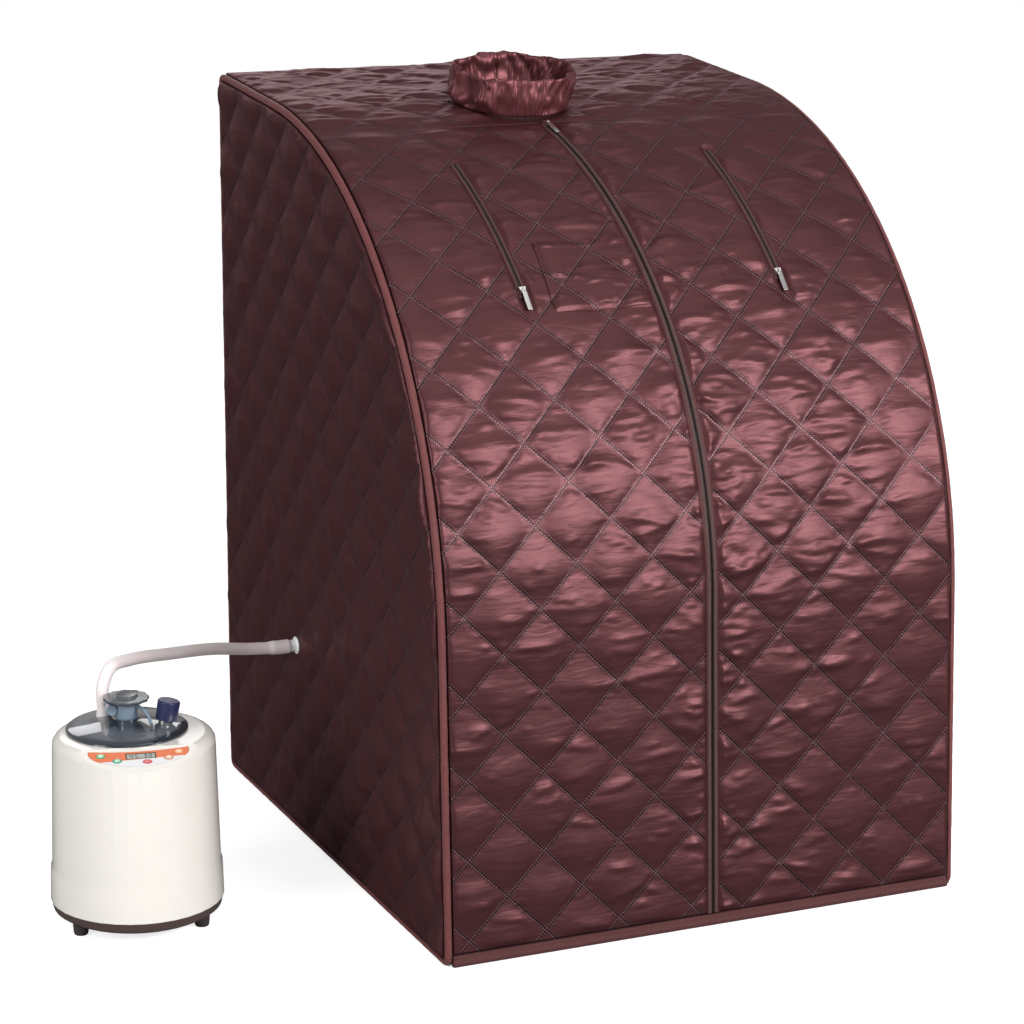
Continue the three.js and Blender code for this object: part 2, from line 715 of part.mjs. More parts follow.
function panelSolid(margin, bottom, thickness, holes) {
  const shape = panelShape(margin);
  shape.holes.push(...holes);
  const settings = { depth: thickness, bevelEnabled: false, curveSegments: 8 };
  return new THREE.ExtrudeGeometry(shape, settings).translate(0, 0, bottom);
}

function housing() {
  const big = 3 * BASE_RADIUS;
  const aboveFacet = (drop) => onFacet(box(big, big, big).translate(0, -big / 2, big / 2 - drop));
  const outside = cut(turned(housingOutline(0), 36), aboveFacet(0));
  const inside = cut(turned(housingOutline(WALL), 36).translate(0, 0, -1), aboveFacet(FACET.skin));
  const opening = cylinder(LID.opening, SKIRT_TOP, HOUSING_TOP + WALL, 36).translate(LID.x, LID.y, 0);
  const recess = onFacet(panelSolid(FACET.fit, -FACET.recess, 2 * FACET.recess, []));
  const { width, height, z, clearance } = INLET;
  const inlet = box(width + 2 * clearance, BASE_RADIUS / 3, height + 2 * clearance)
    .translate(0, BASE_RADIUS, z);
  return mesh('steamer_housing', cut(outside, inside, opening, recess, inlet), CREAM);
}

const BUTTON = { halfWidth: 5.5, halfDepth: 3.7, travel: 0.8, clearance: 0.1, proud: 1 };
const BUTTONS = [
  { name: 'menu_button', x: -46, y: -12, material: GREEN },
  { name: 'start_button', x: -27, y: -22, material: GREEN },
  { name: 'stop_button', x: 9, y: -25.5, material: RED },
  { name: 'minus_button', x: 35, y: -20.5, material: ORANGE },
  { name: 'plus_button', x: 48, y: -11, material: ORANGE },
];
const DISPLAY = { x: 2, y: -14.5, width: 36, height: 10, thickness: 1.8 };
const BOARD_SIZE = { width: 96, depth: 24, thickness: 1.6, drop: 10 };

function controlPanel() {
  const floor = -FACET.recess + GAP;
  const holes = BUTTONS.map(({ x, y }) => {
    const hole = new THREE.Path();
    hole.absellipse(x, y, BUTTON.halfWidth + GAP, BUTTON.halfDepth + GAP, 0, 2 * Math.PI, true);
    return hole;
  });
  const { x, y, width, height, thickness } = DISPLAY;
  const [w, h] = [width / 2 + GAP, height / 2 + GAP];
  const pane = new THREE.Path([
    new THREE.Vector2(x - w, y - h),
    new THREE.Vector2(x - w, y + h),
    new THREE.Vector2(x + w, y + h),
    new THREE.Vector2(x + w, y - h),
  ]);
  const plate = onFacet(panelSolid(0, floor, FACET.recess, [...holes, pane]));
  const window = onFacet(box(width, height, thickness).translate(x, y, floor + thickness / 2));
  const buttons = BUTTONS.map((button) => {
    const cap = cylinder(1, floor + BUTTON.travel + BUTTON.clearance, BUTTON.proud, 14)
      .scale(BUTTON.halfWidth, BUTTON.halfDepth, 1)
      .translate(button.x, button.y, 0);
    return mesh(button.name, onFacet(cap), button.material);
  });
  const board = box(BOARD_SIZE.width, BOARD_SIZE.depth, BOARD_SIZE.thickness)
    .translate(0, y, -BOARD_SIZE.drop);
  return [
    mesh('control_panel', plate, PANEL),
    mesh('display_window', window, LCD),
    mesh('control_board', onFacet(board), BOARD),
    ...buttons,
  ];
}

function baseSkirt() {
  const { bottomInset, bendInset, topInset, bend, lip, floor } = TRAY;
  const tray = turned([
    [0, FOOT_HEIGHT],
    [BASE_RADIUS - bottomInset, FOOT_HEIGHT],
    [BASE_RADIUS - bendInset, FOOT_HEIGHT + bend],
    [BASE_RADIUS - topInset, SKIRT_TOP - GAP],
    [BASE_RADIUS - lip, SKIRT_TOP - GAP],
    [BASE_RADIUS - lip - 2, FOOT_HEIGHT + floor],
    [0, FOOT_HEIGHT + floor],
  ], 44);
  return mesh('base_skirt', tray, BROWN);
}

function feet() {
  const places = {
    front_left: [-74, -48],
    front_right: [74, -48],
    rear_left: [-70, 56],
    rear_right: [70, 56],
  };
  const top = FOOT_HEIGHT - GAP;
  return Object.entries(places).map(([place, [x, y]]) => {
    const profile = [[0, 0], [FOOT.bottom, 0], [FOOT.knee, FOOT.kneeHeight], [FOOT.top, top], [0, top]];
    const foot = mesh(`${place}_foot`, turned(profile, 16), RUBBER);
    foot.position.set(x, y, 0);
    return foot;
  });
}

// The tank stands on the tray's posts; the heater is clamped under its bottom.
function waterWorks() {
  const { radius, wall, bottom, rim } = TANK;
  const heaterBottom = bottom - HEATER_PLATE.depth;
  const thermostatBottom = heaterBottom - THERMOSTAT.depth;
  const tank = turned([
    [0, bottom],
    [radius, bottom],
    [radius, rim],
    [radius - wall, rim],
    [radius - wall, bottom + wall],
    [0, bottom + wall],
  ], 40);
  const { outside, inside, thickness } = GASKET;
  const gasket = tube(radius + outside, radius - inside, rim + GAP, rim + thickness, 40);
  const heater = cylinder(HEATER_PLATE.radius, heaterBottom, bottom - GAP, 28);
  const thermostat = cylinder(THERMOSTAT.radius, thermostatBottom, heaterBottom - GAP, 16);
  const result = group(
    mesh('water_tank', tank, ALUMINIUM),
    mesh('heater_plate', heater, HEATER),
    mesh('thermostat', thermostat, BLACK),
    mesh('lid_gasket', gasket, RUBBER),
  );
  result.position.set(LID.x, LID.y, 0);
  return result;
}

// Turns a body that lies along +X from the tower towards the spigot.
function towardsSpigot(geometry) {
  return geometry.rotateZ(SPIGOT.angle);
}

// Moves an upright body onto the tilted filler neck.
function fillerFrame(geometry) {
  return geometry.rotateY(FILLER.tilt).translate(FILLER.x, FILLER.y, HOUSING_TOP + FILLER.z);
}

// The thin, stepped dome of the lid, from its rim up to the hub under the tower.
function lidDome(rim) {
  const { hub, knee, hubTop, kneeTop, rimTop, lip, thickness } = DOME;
  const crown = rim + hubTop + 1;
  return turned([
    [0, crown],
    [hub, rim + hubTop],
    [knee, rim + kneeTop],
    [LID.radius - 2 * lip, rim + rimTop],
    [LID.radius, rim + lip],
    [LID.radius, rim],
    [LID.radius - 4 * lip, rim],
    [knee, rim + kneeTop - thickness],
    [hub, rim + hubTop - thickness],
    [0, crown - thickness],
  ], 44);
}

// A rib that curves from the tower's top down to the dome.
function grabRib(rim) {
  const { radius, drop, start, bend, end, endHeight } = GRAB_RIB;
  const path = new THREE.QuadraticBezierCurve3(
    new THREE.Vector3(...start, TOWER.top - drop),
    new THREE.Vector3(...bend, TOWER.top - drop),
    new THREE.Vector3(...end, rim + endHeight),
  );
  const section = new THREE.Shape();
  section.absarc(0, 0, radius, 0, 2 * Math.PI, false);
  return new THREE.ExtrudeGeometry(section, { steps: 6, extrudePath: path, curveSegments: 4 });
}

// The side outlet and its upturned spigot: the outside, or the bore.
function outletPath(radius, spigotRadius, spigotBottom, spigotTop, sides) {
  const outlet = alongX(cylinder(radius, OUTLET.start, SPIGOT.reach, sides)).translate(0, 0, ELBOW.height);
  const spigot = cylinder(spigotRadius, spigotBottom, spigotTop, sides).translate(SPIGOT.reach, 0, 0);
  return [towardsSpigot(outlet), towardsSpigot(spigot)];
}

// The lid, its herb tower, the side outlet with its upturned spigot, the filler neck and a grab rib
// are one moulding.
function lid() {
  const rim = HOUSING_TOP + GAP;
  const { height, half } = ELBOW;
  const through = FILLER.reach - FILLER.foot;
  const tower = cylinder(TOWER.radius, rim + DOME.hubTop - TOWER.sunk, TOWER.top, 24);
  const pipes = outletPath(OUTLET.radius, SPIGOT.radius, height, SPIGOT.top, 16);
  const bend = cylinder(ELBOW.radius, height - half, height + half, 16).translate(SPIGOT.reach, 0, 0);
  const valveBoss = cylinder(VALVE_BOSS.radius, -VALVE_BOSS.half, VALVE_BOSS.half, 16)
    .rotateX(Math.PI / 2)
    .translate(VALVE_BOSS.x, VALVE_BOSS.y, height);
  const neck = fillerFrame(cylinder(FILLER.radius, FILLER.foot, FILLER.reach, 16));
  const solid = join(lidDome(rim), tower, ...pipes, towardsSpigot(bend), valveBoss, neck, grabRib(rim));
  const towerBore = cylinder(TOWER.bore, rim, TOWER.top + 1, 20);
  const bores = outletPath(OUTLET.bore, SPIGOT.bore, height - SPIGOT.sunk, SPIGOT.top + 1, 10);
  const neckBore = fillerFrame(cylinder(FILLER.bore, -through, through, 12));
  return mesh('steamer_lid', cut(solid, towerBore, ...bores, neckBore), SMOKE);
}

// The scalloped herb cap closes the tower with a plug that drops into its bore.
function herbCap() {
  const { radius, scallop, lobes, lift, thickness } = HERB_CAP;
  const points = Array.from({ length: 6 * lobes }, (_, i) => {
    const angle = (2 * Math.PI * i) / (6 * lobes);
    const edge = radius + scallop * Math.cos(lobes * angle);
    return new THREE.Vector2(edge * Math.cos(angle), edge * Math.sin(angle));
  });
  const bottom = TOWER.top + lift;
  const middle = bottom + thickness / 2;
  const top = TOWER.top + HERB_BOSS.height;
  const disc = new THREE.ExtrudeGeometry(new THREE.Shape(points), { depth: thickness, bevelEnabled: false })
    .translate(0, 0, bottom);
  const boss = turned([[0, middle], [HERB_BOSS.radius, middle], [HERB_BOSS.topRadius, top], [0, top]], 24);
  const plug = cylinder(TOWER.bore - HERB_PLUG.clearance, TOWER.top - HERB_PLUG.depth, middle, 20);
  return mesh('herb_cap', join(disc, boss, plug), SMOKE);
}

function fillerCap() {
  const { radius, height, bottom, edge, taper, fit, seat } = FILLER_CAP;
  const top = bottom + height;
  const outline = [
    [0, top],
    [radius - edge, top],
    [radius, top - edge],
    [radius - taper, bottom],
    [FILLER.radius + fit, bottom],
    [FILLER.radius + fit, seat],
    [0, seat],
  ];
  return mesh('filler_cap', fillerFrame(turned(outline, 24)), NAVY);
}

function powerInlet() {
  const { width, depth, height, z, socketWidth, socketDepth } = INLET;
  const body = box(width, depth, height).translate(0, BASE_RADIUS - depth / 2, z);
  const socket = box(socketWidth, socketDepth, height / 2).translate(0, BASE_RADIUS, z);
  return mesh('power_inlet', cut(body, socket), BLACK);
}

function steamer() {
  const lidGroup = group(lid(), herbCap(), fillerCap());
  lidGroup.position.set(LID.x, LID.y, 0);
  const result = group(
    housing(),
    baseSkirt(),
    powerInlet(),
    ...controlPanel(),
    ...feet(),
    waterWorks(),
    lidGroup,
  );
  result.position.set(STEAMER.x, STEAMER.y, 0);
  result.rotation.z = STEAMER.turn;
  return result;
}

// ---- Hose from the lid's spigot to the steam port -------------------------------------------------
function steamHose() {
  const spigot = new THREE.Vector3(SPIGOT.reach, 0, 0)
    .applyAxisAngle(new THREE.Vector3(0, 0, 1), SPIGOT.angle)
    .add(new THREE.Vector3(LID.x, LID.y, 0))
    .applyAxisAngle(new THREE.Vector3(0, 0, 1), STEAMER.turn)
    .add(new THREE.Vector3(STEAMER.x, STEAMER.y, 0));
  const portEnd = -HALF_WIDTH - GAP - FITTING.flangeThickness - FITTING.barrelLength - GAP;
  const start = new THREE.Vector3(portEnd, PORT.y, PORT.z);
  const path = new THREE.CatmullRomCurve3([
    start,
    start.clone().add(new THREE.Vector3(-14, 0, 0)),
    start.clone().add(new THREE.Vector3(-55, -1, 3)),
    ...HOSE_BENDS.map((point) => new THREE.Vector3(...point)),
    new THREE.Vector3(spigot.x, spigot.y, SPIGOT.top + HOSE.outer),
    new THREE.Vector3(spigot.x, spigot.y, ELBOW.height + ELBOW.half + GAP),
  ], false, 'centripetal');
  const ring = new THREE.Shape();
  ring.absarc(0, 0, HOSE.outer, 0, 2 * Math.PI, false);
  const bore = new THREE.Path();
  bore.absarc(0, 0, HOSE.inner, 0, 2 * Math.PI, true);
  ring.holes.push(bore);
  const settings = { steps: HOSE.steps, extrudePath: path, curveSegments: 6 };
  return mesh('steam_hose', new THREE.ExtrudeGeometry(ring, settings), SILICONE);
}

// ---- The whole sauna ---------------------------------------------------------------------------
const sauna = group(
  sidePanel('left_side_panel', -HALF_WIDTH, -1, true),
  sidePanel('right_side_panel', HALF_WIDTH, 1, false),
  ...hoopAndSleeve('left', -1),
  ...hoopAndSleeve('right', 1),
  topPanel(),
  ...archPanels(),
  ...frontFlaps(),
  rearPanel(),
  frontSill(),
  floorMat(),
  ...spacerRods(),
  neckCollar(),
  remotePocket(),
  ...mainZipTapes(),
  armZipTape('left', LEFT_ARM),
  armZipTape('right', RIGHT_ARM),
  ...sliders(),
  steamPort(),
  steamer(),
  steamHose(),
);

export default sauna;
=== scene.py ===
"""Looks for the portable steam sauna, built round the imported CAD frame. Metres, +Z up, the front faces -Y."""

import json
import math

import bpy
import numpy as np
from mathutils import Matrix, Vector

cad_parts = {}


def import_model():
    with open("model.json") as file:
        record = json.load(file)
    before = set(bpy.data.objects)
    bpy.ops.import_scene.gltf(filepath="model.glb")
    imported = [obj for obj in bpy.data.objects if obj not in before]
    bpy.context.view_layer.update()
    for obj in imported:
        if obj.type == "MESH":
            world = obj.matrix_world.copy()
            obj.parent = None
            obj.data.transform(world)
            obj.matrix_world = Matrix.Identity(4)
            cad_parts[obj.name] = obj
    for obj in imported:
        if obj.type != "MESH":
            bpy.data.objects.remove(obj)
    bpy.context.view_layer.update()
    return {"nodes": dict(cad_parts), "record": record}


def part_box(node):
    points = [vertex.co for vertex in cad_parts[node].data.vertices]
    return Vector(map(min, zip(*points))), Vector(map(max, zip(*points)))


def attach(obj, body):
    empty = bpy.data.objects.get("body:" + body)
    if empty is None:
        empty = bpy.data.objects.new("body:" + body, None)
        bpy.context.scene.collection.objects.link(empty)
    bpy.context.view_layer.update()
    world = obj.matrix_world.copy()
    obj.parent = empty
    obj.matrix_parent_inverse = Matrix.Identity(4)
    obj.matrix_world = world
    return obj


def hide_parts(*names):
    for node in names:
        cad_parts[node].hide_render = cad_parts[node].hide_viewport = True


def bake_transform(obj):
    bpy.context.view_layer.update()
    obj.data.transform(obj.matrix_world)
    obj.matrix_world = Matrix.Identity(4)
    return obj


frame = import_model()

MM = 0.001

# ---- Driving dimensions, from the frame ----
side_low, side_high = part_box("left_side_panel")
rear_low, rear_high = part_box("rear_panel")
SLEEVE = 4.5 * MM
HALF_WIDTH = -side_low.x
HALF_DEPTH = rear_high.y
HEIGHT = rear_high.z + 2 * SLEEVE
FABRIC = side_high.x - side_low.x
GAP = 0.3 * MM
FRONT_LEAN = math.radians(3.07)
TOP_RISE = math.radians(4.08)
ARC_RADIUS = 607.8 * MM
ARC_FRONT = math.pi / 2 - FRONT_LEAN
ARC_TOP = TOP_RISE
PANEL_EDGE = HALF_WIDTH - 2 * SLEEVE - GAP


def arc_centre():
    """Centre of the arc that touches the leaning front and the sloping roof."""
    front = np.array([math.cos(FRONT_LEAN), -math.sin(FRONT_LEAN)])
    roof = np.array([math.sin(TOP_RISE), -math.cos(TOP_RISE)])
    offsets = [
        front @ [-HALF_DEPTH, 0] + ARC_RADIUS,
        roof @ [HALF_DEPTH, HEIGHT] + ARC_RADIUS,
    ]
    return np.linalg.solve(np.array([front, roof]), offsets)


CENTRE_Y, CENTRE_Z = arc_centre()
FRONT_LENGTH = (CENTRE_Z + ARC_RADIUS * math.cos(ARC_FRONT)) / math.cos(FRONT_LEAN)
ARC_LENGTH = ARC_RADIUS * (ARC_FRONT - ARC_TOP)
ROOF_START_Y = CENTRE_Y - ARC_RADIUS * math.sin(ARC_TOP)
ROOF_LENGTH = (HALF_DEPTH - ROOF_START_Y) / math.cos(TOP_RISE)
SHELL_LENGTH = FRONT_LENGTH + ARC_LENGTH + ROOF_LENGTH


def along_shell(angle):
    """Distance up the front from the hem to this angle on the arc."""
    return FRONT_LENGTH + ARC_RADIUS * (ARC_FRONT - angle)


def shell(u, s, lift):
    """Points of the cabin's front, arc and roof: u is x, s runs up from the hem, lift is off the surface."""
    u, s, lift = np.broadcast_arrays(*np.atleast_1d(u, s, lift))
    angle = np.clip(ARC_FRONT - (s - FRONT_LENGTH) / ARC_RADIUS, ARC_TOP, ARC_FRONT)
    below = np.minimum(s - FRONT_LENGTH, 0)
    beyond = np.maximum(s - FRONT_LENGTH - ARC_LENGTH, 0)
    radius = ARC_RADIUS + lift
    y = CENTRE_Y - radius * np.sin(angle) + below * math.sin(FRONT_LEAN) + beyond * math.cos(TOP_RISE)
    z = CENTRE_Z + radius * np.cos(angle) + below * math.cos(FRONT_LEAN) + beyond * math.sin(TOP_RISE)
    return np.stack([u, y, z], axis=-1)


def side_wall(direction):
    """A surface function like shell() for the flat side at x = direction * HALF_WIDTH: u is y, v is z."""

    def place(u, v, lift):
        u, v, lift = np.broadcast_arrays(*np.atleast_1d(u, v, lift))
        return np.stack([direction * (HALF_WIDTH + lift), u, v], axis=-1)

    return place


def rear_wall(u, v, lift):
    u, v, lift = np.broadcast_arrays(*np.atleast_1d(u, v, lift))
    return np.stack([u, HALF_DEPTH + lift, v], axis=-1)


# ---- Zips, neck and pocket ----
ZIP_START = math.radians(17.4)
SEAM_GAP = 0.5 * MM
DOOR_TOP = along_shell(math.radians(17)) - SEAM_GAP
DOOR_BOTTOM = 17 * MM / math.cos(FRONT_LEAN)
ZIP_SPLIT = 3 * MM
ZIP_X, ZIP_SLANT = -69 * MM, (19.3 * MM, 74 * MM)
ARM_FROM, ARM_TO = math.radians(25.9), math.radians(47.6)
ARM_MIDDLE = (ARM_FROM + ARM_TO) / 2
PULL_LENGTH = 26 * MM
LEFT_ARM = (-182.5 * MM, 0.0656)
RIGHT_ARM = (167 * MM, 0.0525)
NECK_X, NECK_ANGLE, NECK_HOLE = -40 * MM, math.radians(9.27), 62 * MM
COLLAR_BASE, COLLAR_HEIGHT = 74 * MM, 46 * MM
POCKET = {"left": -142 * MM, "right": -16 * MM, "top": math.radians(40.3), "bottom": math.radians(49.9)}


def zip_x(s):
    """x of the main zip at distance s up the shell: it slants over the arc and runs straight below it."""
    angle = np.clip(ARC_FRONT - (np.asarray(s) - FRONT_LENGTH) / ARC_RADIUS, ARC_TOP, ARC_FRONT)
    return ZIP_X + ZIP_SLANT[0] * np.cos(angle) + ZIP_SLANT[1] * np.sin(angle)


def arm_x(arm):
    middle, slope = arm

    def x(s):
        angle = ARC_FRONT - (np.asarray(s) - FRONT_LENGTH) / ARC_RADIUS
        return middle + slope * ARC_RADIUS * np.sin(angle - ARM_MIDDLE)

    return x


# ---- Seeded noise ----
def value_noise(x, y, seed):
    """Smooth noise from 0 to 1 with a feature size of about one unit."""
    table = np.random.default_rng(seed).random((64, 64))
    xi, yi = np.floor(x).astype(int), np.floor(y).astype(int)
    fx, fy = x - xi, y - yi
    fx, fy = fx * fx * (3 - 2 * fx), fy * fy * (3 - 2 * fy)
    a, b = table[yi % 64, xi % 64], table[yi % 64, (xi + 1) % 64]
    c, d = table[(yi + 1) % 64, xi % 64], table[(yi + 1) % 64, (xi + 1) % 64]
    return (a * (1 - fx) + b * fx) * (1 - fy) + (c * (1 - fx) + d * fx) * fy


def creases(x, y, seed):
    """Noise with narrow ridges, from 0 to 1."""
    return (1 - np.abs(2 * value_noise(x, y, seed) - 1)) ** 3


def smooth_step(low, high, value):
    t = np.clip((value - low) / (high - low), 0, 1)
    return t * t * (3 - 2 * t)


# ---- Mesh helpers ----
def rectangle(left, low, right, high):
    return np.array([[left, low], [right, low], [right, high], [left, high]])


def circle(count, radius=1, middle=(0, 0)):
    turn = np.linspace(0, 2 * math.pi, count, endpoint=False)
    return np.array(middle) + radius * np.stack([np.cos(turn), np.sin(turn)], axis=1)


def mesh_object(name, points, faces, materials, uv=None, face_material=None):
    """A smooth mesh object. uv holds one pair for each point."""
    data = bpy.data.meshes.new(name)
    data.from_pydata(np.asarray(points).tolist(), [], [list(face) for face in faces])
    for material in materials:
        data.materials.append(material)
    if face_material is not None:
        data.polygons.foreach_set("material_index", np.asarray(face_material, np.int32))
    if uv is not None:
        corner = np.zeros(len(data.loops), np.int32)
        data.loops.foreach_get("vertex_index", corner)
        layer = data.uv_layers.new(name="UVMap")
        layer.data.foreach_set("uv", np.asarray(uv, np.float32)[corner].ravel())
    data.shade_smooth()
    data.update()
    made = bpy.data.objects.new(name, data)
    bpy.context.scene.collection.objects.link(made)
    return made


def outline_edges(outlines):
    """Start and end of every edge of the closed outlines."""
    for outline in outlines:
        yield from zip(outline, np.roll(outline, -1, axis=0))


def inside_outlines(points, outlines):
    """Even-odd test of points against closed outlines, so an outline within another is a hole."""
    inside = np.zeros(len(points), bool)
    for start, end in outline_edges(outlines):
        if start[1] == end[1]:
            continue
        crosses = (points[:, 1] < start[1]) != (points[:, 1] < end[1])
        share = (points[:, 1] - start[1]) / (end[1] - start[1])
        inside ^= crosses & (points[:, 0] < start[0] + share * (end[0] - start[0]))
    return inside


def nearest_on_outlines(points, outlines):
    """The nearest place on any outline to each point."""
    best = np.full(len(points), np.inf)
    nearest = points.copy()
    for start, end in outline_edges(outlines):
        along = end - start
        share = np.clip(((points - start) @ along) / max(along @ along, 1e-18), 0, 1)
        place = start + share[:, None] * along
        distance = ((points - place) ** 2).sum(axis=1)
        closer = distance < best
        best[closer] = distance[closer]
        nearest[closer] = place[closer]
    return nearest


def rim_distance(points, outline):
    return np.linalg.norm(points - nearest_on_outlines(points, [outline]), axis=1)


def rim_edges(faces, count):
    """Directed edges of quads that no neighbour shares."""
    edges = np.concatenate([np.stack([faces[:, k], faces[:, (k + 1) % 4]], axis=1) for k in range(4)])
    forward = edges[:, 0] * count + edges[:, 1]
    backward = edges[:, 1] * count + edges[:, 0]
    return edges[~np.isin(forward, backward)]


def trimmed_grid(outlines, spacing, phase):
    """Square cells whose middles lie within the outlines, with their rim moved on to the outlines."""
    outlines = [np.asarray(outline, float) for outline in outlines]
    every = np.concatenate(outlines)
    first = np.floor((every.min(axis=0) - phase) / spacing).astype(int) - 1
    last = np.ceil((every.max(axis=0) - phase) / spacing).astype(int) + 1
    us = phase[0] + spacing * np.arange(first[0], last[0] + 1)
    vs = phase[1] + spacing * np.arange(first[1], last[1] + 1)
    column, row = np.meshgrid(np.arange(len(us) - 1), np.arange(len(vs) - 1))
    column, row = column.ravel(), row.ravel()
    middles = np.stack([us[column] + spacing / 2, vs[row] + spacing / 2], axis=1)
    kept = inside_outlines(middles, outlines)
    column, row = column[kept], row[kept]
    corners = [(0, 0), (1, 0), (1, 1), (0, 1)]
    faces = np.stack([(row + dv) * len(us) + column + du for du, dv in corners], axis=1)
    used, faces = np.unique(faces, return_inverse=True)
    faces = faces.reshape(-1, 4)
    points = np.stack([us[used % len(us)], vs[used // len(us)]], axis=1)
    rim = np.unique(rim_edges(faces, len(points)))
    points[rim] = nearest_on_outlines(points[rim], outlines)
    return points, faces


def fabric_solid(name, surface, plane, faces, outer, inner, phase, materials):
    """A closed sheet: the outer face with its relief, the lining behind it and the rim between them."""
    count = len(plane)
    front = surface(plane[:, 0], plane[:, 1], outer) if np.ndim(outer) < 2 else outer
    back = surface(plane[:, 0], plane[:, 1], inner)
    a, b, _, d = faces[len(faces) // 2]
    faces_out = np.cross(front[b] - front[a], front[d] - front[a]) @ (front[a] - back[a]) > 0
    quads = faces if faces_out else faces[:, ::-1]
    edges = rim_edges(quads, count)
    rim = np.stack([edges[:, 1], edges[:, 0], edges[:, 0] + count, edges[:, 1] + count], axis=1)
    everything = np.concatenate([quads, quads[:, ::-1] + count, rim])
    slots = np.concatenate([np.zeros(len(quads)), np.ones(len(quads)), np.zeros(len(rim))])
    uv = np.concatenate([plane - phase, plane - phase])
    made = mesh_object(name, np.concatenate([front, back]), everything, materials, uv, slots)
    made.data.polygons.foreach_set("use_smooth", np.arange(len(everything)) < 2 * len(quads))
    return made


def skinned(name, rings, materials, loop=False, slots=None):
    """A body over matching rings of points, shaped (rings, points, 3), with capped ends unless it loops."""
    rings = np.asarray(rings)
    spans, count = rings.shape[:2]
    i, j = np.meshgrid(np.arange(spans if loop else spans - 1), np.arange(count), indexing="ij")
    i, j = i.ravel(), j.ravel()
    after, beside = (i + 1) % spans, (j + 1) % count
    quads = np.stack([i * count + j, i * count + beside, after * count + beside, after * count + j], axis=1)
    faces = quads.tolist()
    material = [0] * len(faces) if slots is None else [slots[k] for k in j]
    if not loop:
        faces.append(list(range(count))[::-1])
        faces.append([(spans - 1) * count + k for k in range(count)])
        material += [material[0], material[0]]
    return mesh_object(name, rings.reshape(-1, 3), faces, materials, face_material=material)


def stand_in(piece, slot, *nodes, body="sauna"):
    """Puts a piece in place of the CAD nodes it stands for, riding on body unless that is None."""
    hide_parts(*nodes)
    if body is not None:
        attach(piece, body)


# ---- Node material helpers ----
class Shader:
    """Builds one node material in a few readable lines."""

    def __init__(self, name):
        self.material = bpy.data.materials.new(name)
        self.material.use_nodes = True
        self.tree = self.material.node_tree
        self.tree.nodes.clear()
        self.output = self.tree.nodes.new("ShaderNodeOutputMaterial")
        self.bsdf = self.tree.nodes.new("ShaderNodeBsdfPrincipled")
        self.feed(self.output.inputs["Surface"], self.bsdf.outputs[0])

    def feed(self, socket, value):
        """Links a socket to another one, or gives it a plain value."""
        if isinstance(value, bpy.types.NodeSocket):
            self.tree.links.new(value, socket)
        else:
            socket.default_value = value

    def node(self, kind, inputs=None, **settings):
        made = self.tree.nodes.new(kind)
        for key, value in settings.items():
            setattr(made, key, value)
        for key, value in (inputs or {}).items():
            self.feed(made.inputs[key], value)
        return made

    def set(self, **values):
        for key, value in values.items():
            self.feed(self.bsdf.inputs[key.replace("_", " ")], value)

    def math(self, operation, a, b=0.0, c=0.0):
        return self.node("ShaderNodeMath", {0: a, 1: b, 2: c}, operation=operation).outputs[0]

    def times(self, a, b):
        return self.math("MULTIPLY", a, b)

    def spread(self, value, amount, least):
        """least + amount * value."""
        return self.math("MULTIPLY_ADD", value, amount, least)

    def away(self, value, middle):
        return self.math("ABSOLUTE", self.math("SUBTRACT", value, middle))

    def parts(self, vector):
        """The x, y and z of a vector."""
        return self.node("ShaderNodeSeparateXYZ", {0: vector}).outputs

    def coordinates(self, kind="Object"):
        return self.node("ShaderNodeTexCoord").outputs[kind]

    def stretched(self, vector, scale):
        return self.node("ShaderNodeMapping", {"Vector": vector, "Scale": scale}).outputs[0]

    def noise(self, vector, scale, detail=3.0, roughness=0.5):
        inputs = {"Vector": vector, "Scale": scale, "Detail": detail, "Roughness": roughness}
        return self.node("ShaderNodeTexNoise", inputs).outputs["Fac"]

    def ramp(self, value, low, high):
        """value scaled so that low gives 0 and high gives 1, clamped."""
        inputs = {"Value": value, "From Min": low, "From Max": high}
        return self.node("ShaderNodeMapRange", inputs).outputs[0]

    def mix(self, share, first, second):
        first, second = (c if isinstance(c, bpy.types.NodeSocket) else (*c, 1) for c in (first, second))
        return self.node("ShaderNodeMix", {0: share, 6: first, 7: second}, data_type="RGBA").outputs[2]

    def bump(self, height, distance, strength=1.0, normal=None):
        inputs = {"Height": height, "Distance": distance, "Strength": strength}
        if normal is not None:
            inputs["Normal"] = normal
        return self.node("ShaderNodeBump", inputs).outputs[0]


def shade(colour, factor):
    return tuple(min(1.0, channel * factor) for channel in colour)


def moulded(name, colour, roughness, coat=0.0, speckle=0.06):
    """Moulded plastic or rubber: slight mottling, a fine surface texture and faint wear."""
    s = Shader(name)
    place = s.coordinates()
    mottle = s.noise(place, 35, 4)
    wear = s.noise(place, 420, 2)
    s.set(Base_Color=s.mix(mottle, shade(colour, 1 - speckle), shade(colour, 1 + speckle)))
    s.set(Roughness=s.spread(wear, 0.12, roughness - 0.06))
    s.set(Coat_Weight=coat, Coat_Roughness=0.08)
    s.set(Normal=s.bump(s.noise(place, 900, 2), 0.05 * MM, 0.35))
    return s.material


def metal(name, colour, roughness):
    """Bare metal with a faint brushed grain."""
    s = Shader(name)
    grain = s.noise(s.stretched(s.coordinates(), (1, 1, 12)), 300, 3)
    s.set(Base_Color=s.mix(grain, shade(colour, 0.85), shade(colour, 1.1)), Metallic=1.0)
    s.set(Roughness=s.spread(grain, 0.2, roughness - 0.1))
    s.set(Normal=s.bump(grain, 0.03 * MM, 0.4))
    return s.material


# ---- Quilting ----
QUILT = 99 * MM
ROW_OFFSET = 3.2 * MM
STITCH, STITCH_SHARE = 3.7 * MM, 0.6
